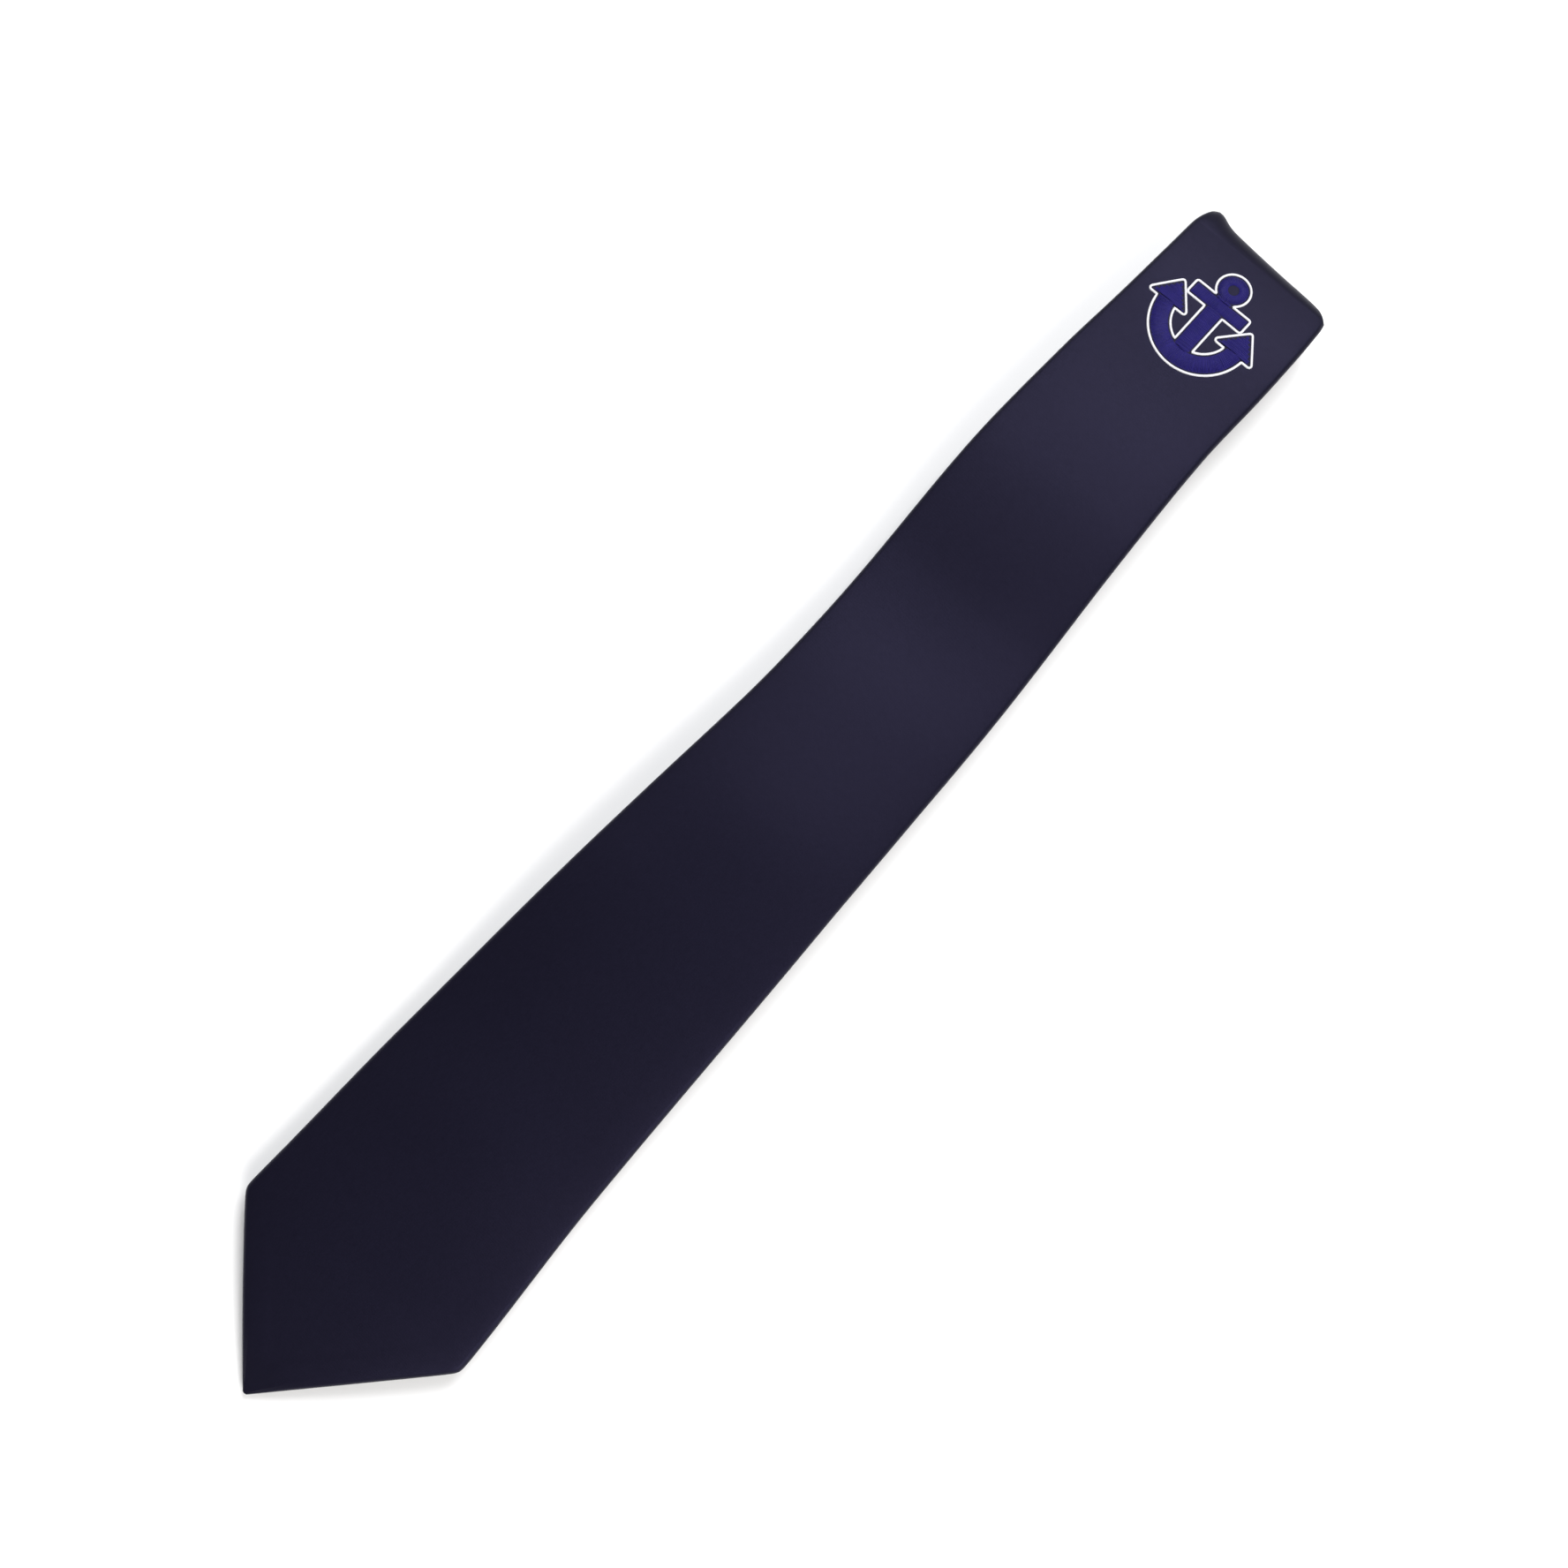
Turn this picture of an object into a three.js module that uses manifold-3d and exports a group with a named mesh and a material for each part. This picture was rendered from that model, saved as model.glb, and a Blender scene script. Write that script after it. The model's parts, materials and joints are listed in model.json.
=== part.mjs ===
// A silk necktie lying folded in four, back on itself like a concertina.
// Millimetres, +Z up. The blade lies on top with its front up and its point
// towards -Y; the tail lies at the bottom with its front on the table.
//
// From the top: blade, upper neck, lower neck, tail. Between each two layers
// the cloth makes a half turn, and each half turn is a hinge.

import * as THREE from 'three';
import { mergeVertices } from 'three/addons/utils/BufferGeometryUtils.js';
import Module from 'manifold-3d';

const wasm = await Module();
wasm.setup();

// ---------------------------------------------------------------- driving sizes

const BLADE_WIDTH = 80;          // across the corners of the wide point
const BLADE_CORNER = 43.5;       // point to corners, along the blade
const TAIL_WIDTH = 47;
const TAIL_CORNER = 25;
const POINT_WIDTH = 3.4;         // blunt width left at each point

const THICKNESS = 3.0;           // one flat layer of the tie, front to back
const HALF = THICKNESS / 2;
const SILK = 0.4;                // wall of the silk shell
const GAP = 0.3;                 // room between neighbouring pieces
const REST_GAP = 0.6;            // room between stacked layers
const PITCH = THICKNESS + REST_GAP;

// Folds: where each half turn's axis is, and the turn's radius at mid-thickness.
const ROUND_FOLD = 4.0;
const FOLD_1 = { y: 439.5, z: HALF + 2 * PITCH + ROUND_FOLD, radius: ROUND_FOLD };
const FOLD_2 = { y: 50.0, z: HALF + PITCH / 2, radius: PITCH / 2 };
const FOLD_3 = { y: 415.0, z: HALF + PITCH / 2, radius: PITCH / 2 };
const TAIL_POINT = 170.0;        // y of the tail's point
const STEP_UP = { from: TAIL_POINT - 50, to: TAIL_POINT - 5 };

// How the blade lies: middle height of its point, just past the second fold,
// over the keeper, and at the first fold, and where it climbs between them.
const BLADE_LIE = {
  point: 1.7,
  onNeck: 2 * PITCH + HALF + 0.2,
  overKeeper: 14.1,
  atFold: FOLD_1.z + ROUND_FOLD,
  droopEnds: 55,
  climb: { from: 95, to: 185 },
  rise: { from: 300, to: 352 },
};

const FOLD_SWAY = -0.3;          // sideways place of the first fold

// Lengths along the cloth from the blade's point, where each fold starts and ends.
const FOLD_1_START = FOLD_1.y;
const FOLD_1_END = FOLD_1_START + Math.PI * FOLD_1.radius;
const FOLD_2_START = FOLD_1_END + FOLD_1.y - FOLD_2.y;
const FOLD_2_END = FOLD_2_START + Math.PI * FOLD_2.radius;
const FOLD_3_START = FOLD_2_END + FOLD_3.y - FOLD_2.y;
const FOLD_3_END = FOLD_3_START + Math.PI * FOLD_3.radius;
const FULL_LENGTH = FOLD_3_END + FOLD_3.y - TAIL_POINT;

const BLADE_SEAM_Y = 242;        // bias seam, blade panel to neck panel
const TAIL_SEAM_Y = 203;         // bias seam, neck panel to tail panel
const SEAM_SLANT = 0.8;          // run of a bias seam for each unit across

const SLIT = 0.6;                // half the gap between the two back flaps
const HEM = 10;                  // turned-in silk along the edges of a point
const BLADE_TACK = 92;           // from the blade's point to where its flaps part
const TAIL_TACK = 50;
const TACK = { below: 10, length: 4, half: 1.2 };
const STITCH = { half: 0.25, low: 0.05, high: 0.45 };

// Inner layers: how far in from the tie's edge, and their two faces measured
// from mid-thickness towards the front.
const WOOL = { inset: 2.0, low: -0.1, high: HALF - SILK - GAP, ends: 6 };
const TIPPING = { inset: 2.3, low: -0.8, high: -0.4, ends: 6, bladeReach: 112, tailReach: 66 };

const KEEPER = { y: 225, width: 13, across: 46, height: 1.6 };
const LABEL = { y: 262, height: 26, across: 50, thickness: 0.4 };
const CARE = { y: 296, height: 15, across: 27, thickness: 0.4 };

const EMBLEM = { x: -1.9, y: 415, thickness: 0.4, lift: 0.1, band: 1.1, gap: 0.3 };

// The anchor's own sizes, from the middle of its shank.
const ANCHOR = {
  shank: { half: 2.6, bottom: -15, top: 12 },
  stock: { half: 9.5, bottom: 4.6, top: 8.4 },
  eye: { y: 13.6, radius: 4.6, hole: 1.8 },
  arms: { y: -1, outer: 15.6, inner: 10.4 },
  fluke: { x: 13, y: -2, inwards: 6.4, outwards: 5.6, height: 7.4 },
};

// ---------------------------------------------------------------- looks

const LOOKS = {
  silk: { color: 0x1f1d2f, roughness: 0.62, metalness: 0.0 },
  wool: { color: 0xd9d2c2, roughness: 0.95, metalness: 0.0 },
  lining: { color: 0x17161f, roughness: 0.45, metalness: 0.0 },
  thread: { color: 0x26243c, roughness: 0.55, metalness: 0.0 },
  ribbon: { color: 0x2b2940, roughness: 0.5, metalness: 0.0 },
  blueThread: { color: 0x26206e, roughness: 0.4, metalness: 0.0 },
  paleThread: { color: 0xf1f1f4, roughness: 0.5, metalness: 0.0 },
};

function addMesh(parent, name, geometry, look) {
  const mesh = new THREE.Mesh(geometry, new THREE.MeshStandardMaterial(LOOKS[look]));
  mesh.name = name;
  parent.add(mesh);
  return mesh;
}

// ---------------------------------------------------------------- small helpers

function smooth(t) {
  const x = Math.min(1, Math.max(0, t));
  return x * x * (3 - 2 * x);
}

// Value at x on a smooth line through the given [x, value] points.
function through(points, x) {
  const last = points.length - 1;
  const found = points.findIndex((p) => p[0] > x);
  const i = found < 0 ? last : Math.max(1, found);
  const slope = (k) => {
    const before = points[Math.max(0, k - 1)];
    const after = points[Math.min(last, k + 1)];
    return (after[1] - before[1]) / (after[0] - before[0]);
  };
  const [x0, v0] = points[i - 1];
  const [x1, v1] = points[i];
  const h = x1 - x0;
  const t = Math.min(1, Math.max(0, (x - x0) / h));
  const start = (1 + 2 * t) * (1 - t) * (1 - t);
  const startSlope = t * (1 - t) * (1 - t);
  const endSlope = t * t * (t - 1);
  return start * v0 + (1 - start) * v1 + h * (startSlope * slope(i - 1) + endSlope * slope(i));
}

// Evenly spaced values from one stop to the next, each stop included once.
function between(stops, step) {
  const values = [stops[0]];
  for (let i = 1; i < stops.length; i += 1) {
    const count = Math.max(1, Math.round(Math.abs(stops[i] - stops[i - 1]) / step));
    for (let k = 1; k <= count; k += 1) {
      values.push(stops[i - 1] + (stops[i] - stops[i - 1]) * k / count);
    }
  }
  return values;
}

// ---------------------------------------------------------------- the tie's shape

// Widths along the cloth, between the corners of the two points.
const WIDTHS = [
  [BLADE_CORNER, BLADE_WIDTH], [105, 74], [175, 68], [240, 61.2], [260, 60], [340, 57.5],
  [382, 54.3], [408, 53], [426, 52], [FOLD_1_START, 51], [490, 45.6], [650, 38], [800, 33],
  [950, 33], [1200, 40], [FULL_LENGTH - TAIL_CORNER, TAIL_WIDTH],
];

function clothWidth(length) {
  const fromTail = FULL_LENGTH - length;
  if (length < BLADE_CORNER) {
    return THREE.MathUtils.mapLinear(length, 0, BLADE_CORNER, POINT_WIDTH, BLADE_WIDTH);
  }
  if (fromTail < TAIL_CORNER) {
    return THREE.MathUtils.mapLinear(fromTail, 0, TAIL_CORNER, POINT_WIDTH, TAIL_WIDTH);
  }
  return through(WIDTHS, length);
}

// Half the opening between the back flaps. They meet along the back seam, part
// at the bar tack and run out to a narrow hem along the edges of the point.
function flapOpening(fromPoint, width, corner, tack) {
  const half = width / 2 - HALF;
  if (fromPoint >= tack) return SLIT;
  if (fromPoint <= corner) return Math.max(Math.min(SLIT, half * 0.7), half - HEM);
  return SLIT + (half - HEM - SLIT) * Math.pow((tack - fromPoint) / (tack - corner), 1.6);
}

function backOpening(length) {
  const width = clothWidth(length);
  if (length < BLADE_TACK) return flapOpening(length, width, BLADE_CORNER, BLADE_TACK);
  return flapOpening(FULL_LENGTH - length, width, TAIL_CORNER, TAIL_TACK);
}

// The tie doesn't lie quite straight: sideways places of its centre line.
const BLADE_SWAY = [
  [0, 0], [44, 1.5], [104, 0.35], [200, 1.8], [245, 2.6], [280, 2], [340, -1.2], [382, -1.7],
  [408, -0.5], [426, -0.1], [FOLD_1.y, FOLD_SWAY],
];
const UPPER_SWAY = [[50, 0], [320, 0], [400, 0.4], [425, 0.9], [FOLD_1.y, FOLD_SWAY]];

// The layers step up by one where they climb onto the tail.
function overTail(y) {
  return PITCH * smooth((y - STEP_UP.from) / (STEP_UP.to - STEP_UP.from));
}

// The blade climbs over the keeper's stretch, rises to the round fold, and its
// point droops to the table past the end of the layers under it.
function bladeHeight(y) {
  const { point, onNeck, overKeeper, atFold, droopEnds, climb, rise } = BLADE_LIE;
  const climbed = smooth((y - climb.from) / (climb.to - climb.from));
  const risen = smooth((y - rise.from) / (rise.to - rise.from));
  const past = Math.max(0, 1 - y / droopEnds);
  const drooped = (onNeck - point) * past * past;
  return onNeck + (overKeeper - onNeck) * climbed + (atFold - overKeeper) * risen - drooped;
}

// Each layer: middle height and sideways place at y, length along the cloth,
// and which way its front faces.
const LAYERS = {
  blade: {
    height: bladeHeight,
    sway: (y) => through(BLADE_SWAY, y),
    length: (y) => y,
    front: 1,
  },
  upperNeck: {
    height: (y) => HALF + PITCH + overTail(y),
    sway: (y) => through(UPPER_SWAY, y),
    length: (y) => FOLD_1_END + FOLD_1.y - y,
    front: -1,
  },
  lowerNeck: {
    height: (y) => HALF + overTail(y),
    sway: () => 0,
    length: (y) => FOLD_2_END + y - FOLD_2.y,
    front: 1,
  },
  tail: {
    height: () => HALF,
    sway: () => 0,
    length: (y) => FOLD_3_END + FOLD_3.y - y,
    front: -1,
  },
};

// A station is a place on the tie's middle line: its point, the way its front
// faces, and the length along the cloth.
function layerStation(layer, y) {
  const step = 0.5;
  const slope = (layer.height(y + step) - layer.height(y - step)) / (2 * step);
  return {
    point: new THREE.Vector3(layer.sway(y), y, layer.height(y)),
    normal: new THREE.Vector3(0, -slope, 1).normalize().multiplyScalar(layer.front),
    length: layer.length(y),
  };
}

// Half turns run from the upper layer's end, angle 0, to the lower layer's end.
// side is +1 where the turn bulges towards +Y, and front is +1 where the front
// of the cloth is on the outside.
const TURNS = {
  fold1: { fold: FOLD_1, side: 1, front: 1, sway: FOLD_SWAY, length: FOLD_1_START },
  fold2: { fold: FOLD_2, side: -1, front: -1, sway: 0, length: FOLD_2_START },
  fold3: { fold: FOLD_3, side: 1, front: 1, sway: 0, length: FOLD_3_START },
};

function turnStation({ fold, side, front, sway, length }, angle) {
  const out = new THREE.Vector3(0, side * Math.sin(angle), Math.cos(angle));
  return {
    point: new THREE.Vector3(sway, fold.y, fold.z).addScaledVector(out, fold.radius),
    normal: out.multiplyScalar(front),
    length: length + angle * fold.radius,
  };
}

// ---------------------------------------------------------------- cross-sections
// Each is a list of [across, towards the front] points for a length of cloth.

function arc(centre, radius, from, to, steps) {
  return between([from, to], Math.abs(to - from) / steps)
    .map((a) => [centre + radius * Math.cos(a), radius * Math.sin(a)]);
}

// The silk: front, two rolled edges and two back flaps that don't quite meet.
function shellSection(length) {
  const edge = clothWidth(length) / 2 - HALF;
  const open = backOpening(length);
  const inside = HALF - SILK;
  const quarter = Math.PI / 2;
  return [
    [open, -HALF],
    ...arc(edge, HALF, -quarter, quarter, 4),
    ...arc(-edge, HALF, quarter, 3 * quarter, 4),
    [-open, -HALF],
    [-open, -inside],
    ...arc(-edge, inside, 3 * quarter, quarter, 4),
    ...arc(edge, inside, quarter, -quarter, 4),
    [open, -inside],
  ];
}

function slabSection(half, low, high) {
  return [[half, low], [half, high], [-half, high], [-half, low]];
}

function woolSection(length) {
  return slabSection(clothWidth(length) / 2 - WOOL.inset, WOOL.low, WOOL.high);
}

function tippingSection(length) {
  return slabSection(clothWidth(length) / 2 - TIPPING.inset, TIPPING.low, TIPPING.high);
}

const stitchSection = () => slabSection(STITCH.half, -HALF + STITCH.low, -HALF + STITCH.high);
const tackSection = () => slabSection(TACK.half, -HALF, -HALF + SILK);

// ---------------------------------------------------------------- lofting

// Places a section at a station. A slanted section takes its stations further
// along the cloth on one side than on the other.
function ring(stationAt, position, section, slant) {
  const middle = stationAt(position);
  return section(middle.length).map(([across, front]) => {
    const station = stationAt(position + slant * across);
    const scale = clothWidth(station.length) / clothWidth(middle.length);
    const point = station.point.clone().addScaledVector(station.normal, front);
    point.x += across * scale;
    return point;
  });
}

// Joins rings of equal count into one closed mesh, faces outwards.
function loft(rings, outline) {
  const sides = outline.length;
  const points = rings.flat();
  const triangles = [];
  for (let i = 0; i + 1 < rings.length; i += 1) {
    for (let j = 0; j < sides; j += 1) {
      const a = i * sides + j;
      const b = i * sides + (j + 1) % sides;
      triangles.push([a, b, b + sides], [a, b + sides, a + sides]);
    }
  }
  const contour = outline.map(([across, front]) => new THREE.Vector2(across, front));
  const lastRing = (rings.length - 1) * sides;
  const clockwise = THREE.ShapeUtils.isClockWise(contour);
  for (const [a, b, c] of THREE.ShapeUtils.triangulateShape(contour, [])) {
    const face = clockwise ? [a, c, b] : [a, b, c];
    triangles.push([face[0], face[2], face[1]]);
    triangles.push(face.map((k) => k + lastRing));
  }
  const volume = triangles.reduce((sum, [a, b, c]) => {
    const cross = new THREE.Vector3().crossVectors(points[b], points[c]);
    return sum + points[a].dot(cross);
  }, 0);
  const index = triangles.flatMap(([a, b, c]) => (volume < 0 ? [a, c, b] : [a, b, c]));
  const geometry = new THREE.BufferGeometry();
  geometry.setAttribute('position', new THREE.Float32BufferAttribute(
    points.flatMap((p) => [p.x, p.y, p.z]), 3));
  geometry.setIndex(index);
  geometry.computeVertexNormals();
  return geometry;
}

// A piece that follows one layer through the given stops in y.
function along(layer, section, stops, { step = 14, slants = [0, 0] } = {}) {
  const values = between(stops, step);
  const stationAt = (y) => layerStation(layer, y);
  const last = values[values.length - 1];
  const rings = values.map((y) => {
    const t = (y - values[0]) / (last - values[0]);
    const slant = slants[1] ? slants[1] * smooth(2 * t - 1) : slants[0] * smooth(1 - 2 * t);
    return ring(stationAt, y, section, slant);
  });
  return loft(rings, section(layer.length(values[Math.floor(values.length / 2)])));
}

// A piece that follows a half turn.
function around(turn, section) {
  const angles = between([0, Math.PI], Math.PI / 12);
  const rings = angles.map((angle) => ring((a) => turnStation(turn, a), angle, section, 0));
  return loft(rings, section(turn.length));
}

// ---------------------------------------------------------------- layers and folds

const tie = new THREE.Group();

function makeBlade(parent) {
  const end = FOLD_1.y - GAP;
  const { blade } = LAYERS;
  const stops = [0, BLADE_CORNER, BLADE_TACK, end];
  addMesh(parent, 'blade_shell', along(blade, shellSection, stops, { step: 9 }), 'silk');
  addMesh(parent, 'blade_interlining', along(blade, woolSection, [WOOL.ends, BLADE_CORNER, end]), 'wool');
  const tippingStops = [TIPPING.ends, BLADE_CORNER, TIPPING.bladeReach];
  addMesh(parent, 'blade_tipping', along(blade, tippingSection, tippingStops), 'lining');
  const seam = along(blade, stitchSection, [BLADE_TACK + 8, end]);
  addMesh(parent, 'blade_slip_stitch', seam, 'thread');
  const tackEnd = BLADE_TACK - TACK.below + TACK.length;
  const tack = along(blade, tackSection, [BLADE_TACK - TACK.below, tackEnd]);
  addMesh(parent, 'blade_bar_tack', tack, 'thread');
}

function makeUpperNeck(parent) {
  const { upperNeck } = LAYERS;
  const [top, seam, bottom] = [FOLD_1.y - GAP, BLADE_SEAM_Y, FOLD_2.y + GAP];
  const slant = SEAM_SLANT;
  const bladeSide = along(upperNeck, shellSection, [top, seam + GAP / 2], { slants: [0, slant] });
  const ramp = [STEP_UP.to, STEP_UP.from];
  const neckStops = [seam - GAP / 2, ...ramp, bottom];
  const neckSide = along(upperNeck, shellSection, neckStops, { slants: [slant, 0] });
  addMesh(parent, 'upper_neck_blade_panel', bladeSide, 'silk');
  addMesh(parent, 'upper_neck_neck_panel', neckSide, 'silk');
  const whole = [top, ...ramp, bottom];
  addMesh(parent, 'upper_neck_interlining', along(upperNeck, woolSection, whole), 'wool');
  addMesh(parent, 'upper_neck_slip_stitch', along(upperNeck, stitchSection, whole), 'thread');
}

function makeLowerNeck(parent) {
  const { lowerNeck } = LAYERS;
  const [bottom, seam, top] = [FOLD_2.y + GAP, TAIL_SEAM_Y, FOLD_3.y - GAP];
  const slant = SEAM_SLANT;
  const ramp = [STEP_UP.from, STEP_UP.to];
  const neckStops = [bottom, ...ramp, seam - GAP / 2];
  const neckSide = along(lowerNeck, shellSection, neckStops, { slants: [0, slant] });
  const tailSide = along(lowerNeck, shellSection, [seam + GAP / 2, top], { slants: [slant, 0] });
  addMesh(parent, 'lower_neck_neck_panel', neckSide, 'silk');
  addMesh(parent, 'lower_neck_tail_panel', tailSide, 'silk');
  const whole = [bottom, ...ramp, top];
  addMesh(parent, 'lower_neck_interlining', along(lowerNeck, woolSection, whole), 'wool');
  addMesh(parent, 'lower_neck_slip_stitch', along(lowerNeck, stitchSection, whole), 'thread');
}

function makeTail(parent) {
  const { tail } = LAYERS;
  const start = FOLD_3.y - GAP;
  const at = (fromPoint) => TAIL_POINT + fromPoint;
  const stops = [start, at(TAIL_TACK), at(TAIL_CORNER), at(0)];
  addMesh(parent, 'tail_shell', along(tail, shellSection, stops, { step: 9 }), 'silk');
  const woolStops = [start, at(TAIL_CORNER), at(WOOL.ends)];
  addMesh(parent, 'tail_interlining', along(tail, woolSection, woolStops), 'wool');
  const tippingStops = [at(TIPPING.tailReach), at(TAIL_CORNER), at(TIPPING.ends)];
  addMesh(parent, 'tail_tipping', along(tail, tippingSection, tippingStops), 'lining');
  addMesh(parent, 'tail_slip_stitch', along(tail, stitchSection, [start, at(TAIL_TACK + 8)]), 'thread');
  const tackStops = [at(TAIL_TACK - TACK.below + TACK.length), at(TAIL_TACK - TACK.below)];
  addMesh(parent, 'tail_bar_tack', along(tail, tackSection, tackStops), 'thread');
}

function makeFolds(parent) {
  Object.values(TURNS).forEach((turn, i) => {
    addMesh(parent, `fold_${i + 1}_shell`, around(turn, shellSection), 'silk');
    addMesh(parent, `fold_${i + 1}_interlining`, around(turn, woolSection), 'wool');
  });
}

// ---------------------------------------------------------------- back of the blade

// A flat loop of self fabric that the tail passes through.
function makeKeeper(parent) {
  const { across, height, width, y } = KEEPER;
  const bandOutline = (inset) => {
    const [w, h] = [across / 2 - inset, height / 2 - inset];
    return [[w, -h], [w, h], [-w, h], [-w, -h]].map(([a, b]) => new THREE.Vector2(a, b));
  };
  const band = new THREE.Shape(bandOutline(0));
  band.holes.push(new THREE.Path(bandOutline(SILK)));
  const geometry = new THREE.ExtrudeGeometry(band, { depth: width, bevelEnabled: false });
  const loop = addMesh(parent, 'keeper_loop', geometry, 'silk');
  const station = layerStation(LAYERS.blade, y + width / 2);
  loop.rotation.x = Math.PI / 2;
  loop.position.copy(station.point).addScaledVector(station.normal, -HALF - GAP - height / 2);
  loop.position.y = y + width;
}

function makeLabels(parent) {
  for (const [name, label] of [['woven_label', LABEL], ['care_label', CARE]]) {
    const top = -HALF - GAP;
    const section = () => slabSection(label.across / 2, top - label.thickness, top);
    const stops = [label.y, label.y + label.height];
    addMesh(parent, name, along(LAYERS.blade, section, stops), 'ribbon');
  }
}

// ---------------------------------------------------------------- emblem

function solid(geometry) {
  geometry.deleteAttribute('normal');
  geometry.deleteAttribute('uv');
  const merged = mergeVertices(geometry, 1e-4);
  return new wasm.Manifold(new wasm.Mesh({
    numProp: 3,
    vertProperties: merged.attributes.position.array,
    triVerts: new Uint32Array(merged.index.array),
  }));
}

function toGeometry(shape) {
  const mesh = shape.getMesh();
  const geometry = new THREE.BufferGeometry();
  geometry.setAttribute('position', new THREE.BufferAttribute(mesh.vertProperties, 3));
  geometry.setIndex(new THREE.BufferAttribute(mesh.triVerts, 1));
  geometry.computeVertexNormals();
  return geometry;
}

// A plain anchor, upright when the tie is worn. Every stroke is drawn `grow`
// wider all round, so that a wider one less a narrower one leaves its border.
function anchor(grow, low, high) {
  const settings = { depth: high - low, bevelEnabled: false, curveSegments: 12 };
  const raise = (shape) => solid(new THREE.ExtrudeGeometry(shape, settings).translate(0, 0, low));
  const outline = (points) => raise(new THREE.Shape(points.map(([x, y]) => new THREE.Vector2(x, y))));
  const bar = ({ half, bottom, top }) => {
    const [x, y0, y1] = [half + grow, bottom - grow, top + grow];
    return outline([[-x, y0], [x, y0], [x, y1], [-x, y1]]);
  };
  const eye = new THREE.Shape().absarc(0, ANCHOR.eye.y, ANCHOR.eye.radius + grow, 0, 2 * Math.PI);
  const arms = new THREE.Shape();
  arms.absarc(0, ANCHOR.arms.y, ANCHOR.arms.outer + grow, Math.PI, 2 * Math.PI);
  arms.absarc(0, ANCHOR.arms.y, ANCHOR.arms.inner - grow, 2 * Math.PI, Math.PI, true);
  const fluke = (side) => {
    const { x, y, inwards, outwards, height } = ANCHOR.fluke;
    const mitre = 1.8 * grow;
    const points = [
      [x - inwards - mitre, y - grow], [x + outwards + mitre, y - grow], [x, y + height + mitre],
    ];
    return outline(points.map(([a, b]) => [side * a, b]));
  };
  return raise(eye)
    .add(bar(ANCHOR.shank))
    .add(bar(ANCHOR.stock))
    .add(raise(arms))
    .add(fluke(-1))
    .add(fluke(1));
}

function makeEmblem(parent) {
  const { x, y, thickness, lift, band, gap } = EMBLEM;
  const top = LAYERS.blade.height(y) + HALF + lift;
  const circle = new THREE.Shape().absarc(0, ANCHOR.eye.y, ANCHOR.eye.hole, 0, 2 * Math.PI);
  const hole = new THREE.ExtrudeGeometry(circle, { depth: thickness + 2, bevelEnabled: false });
  const fill = anchor(0, 0, thickness).subtract(solid(hole.translate(0, 0, -1)));
  const border = anchor(gap + band, 0, thickness).subtract(anchor(gap, -1, thickness + 1));
  addMesh(parent, 'emblem_fill', toGeometry(fill), 'blueThread').position.set(x, y, top);
  addMesh(parent, 'emblem_border', toGeometry(border), 'paleThread').position.set(x, y, top);
}

// ---------------------------------------------------------------- the whole tie

makeBlade(tie);
makeUpperNeck(tie);
makeLowerNeck(tie);
makeTail(tie);
makeFolds(tie);
makeKeeper(tie);
makeLabels(tie);
makeEmblem(tie);

// The origin is at the middle of the tie's box, on the table.
const box = new THREE.Box3().setFromObject(tie);
const middle = box.getCenter(new THREE.Vector3());
tie.position.set(-middle.x, -middle.y, -box.min.z);

export default tie;
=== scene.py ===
"""A silk necktie that lies folded in four on a pale table.

The tie is one long folded tube of silk. Everything on it is placed by its
length along the cloth from the blade's point, its place across the tie and its
offset from mid-thickness towards the front. Sizes are in millimetres until a
mesh is made.
"""

import json
import logging
import math
from dataclasses import dataclass, field
from enum import Enum
from typing import Callable, Sequence

import bpy
import numpy as np
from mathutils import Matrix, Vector

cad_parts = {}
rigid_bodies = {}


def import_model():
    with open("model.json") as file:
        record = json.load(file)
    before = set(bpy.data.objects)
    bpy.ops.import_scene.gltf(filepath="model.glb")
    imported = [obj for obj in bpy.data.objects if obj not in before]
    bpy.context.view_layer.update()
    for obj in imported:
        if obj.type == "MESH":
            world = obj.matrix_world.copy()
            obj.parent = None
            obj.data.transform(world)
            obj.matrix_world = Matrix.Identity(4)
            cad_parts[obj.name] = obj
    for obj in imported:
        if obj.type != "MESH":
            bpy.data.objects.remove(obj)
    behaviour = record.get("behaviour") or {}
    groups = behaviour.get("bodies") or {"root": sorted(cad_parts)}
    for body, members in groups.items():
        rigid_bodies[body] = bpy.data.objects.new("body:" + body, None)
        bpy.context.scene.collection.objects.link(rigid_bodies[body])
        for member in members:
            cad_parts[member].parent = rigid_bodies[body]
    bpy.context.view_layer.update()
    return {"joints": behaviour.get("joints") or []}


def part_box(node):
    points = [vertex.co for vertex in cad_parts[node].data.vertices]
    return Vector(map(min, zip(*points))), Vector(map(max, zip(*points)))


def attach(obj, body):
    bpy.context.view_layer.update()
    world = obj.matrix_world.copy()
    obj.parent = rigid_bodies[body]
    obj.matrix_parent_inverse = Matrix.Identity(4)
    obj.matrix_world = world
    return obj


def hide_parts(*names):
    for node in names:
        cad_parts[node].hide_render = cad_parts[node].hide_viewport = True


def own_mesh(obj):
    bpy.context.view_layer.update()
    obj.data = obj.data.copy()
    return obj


LOG = logging.getLogger("necktie")

MM = 0.001
Array = np.ndarray
Colour = tuple[float, float, float]
Knots = tuple[tuple[float, float], ...]
Rule = Callable[[Array, Array], Array]
Socket = bpy.types.NodeSocket


# ------------------------------------------------------------------ small helpers


def smooth(t: Array) -> Array:
    """Smooth step from 0 to 1 as t goes from 0 to 1."""
    x = np.clip(t, 0.0, 1.0)
    return x * x * (3 - 2 * x)


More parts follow.
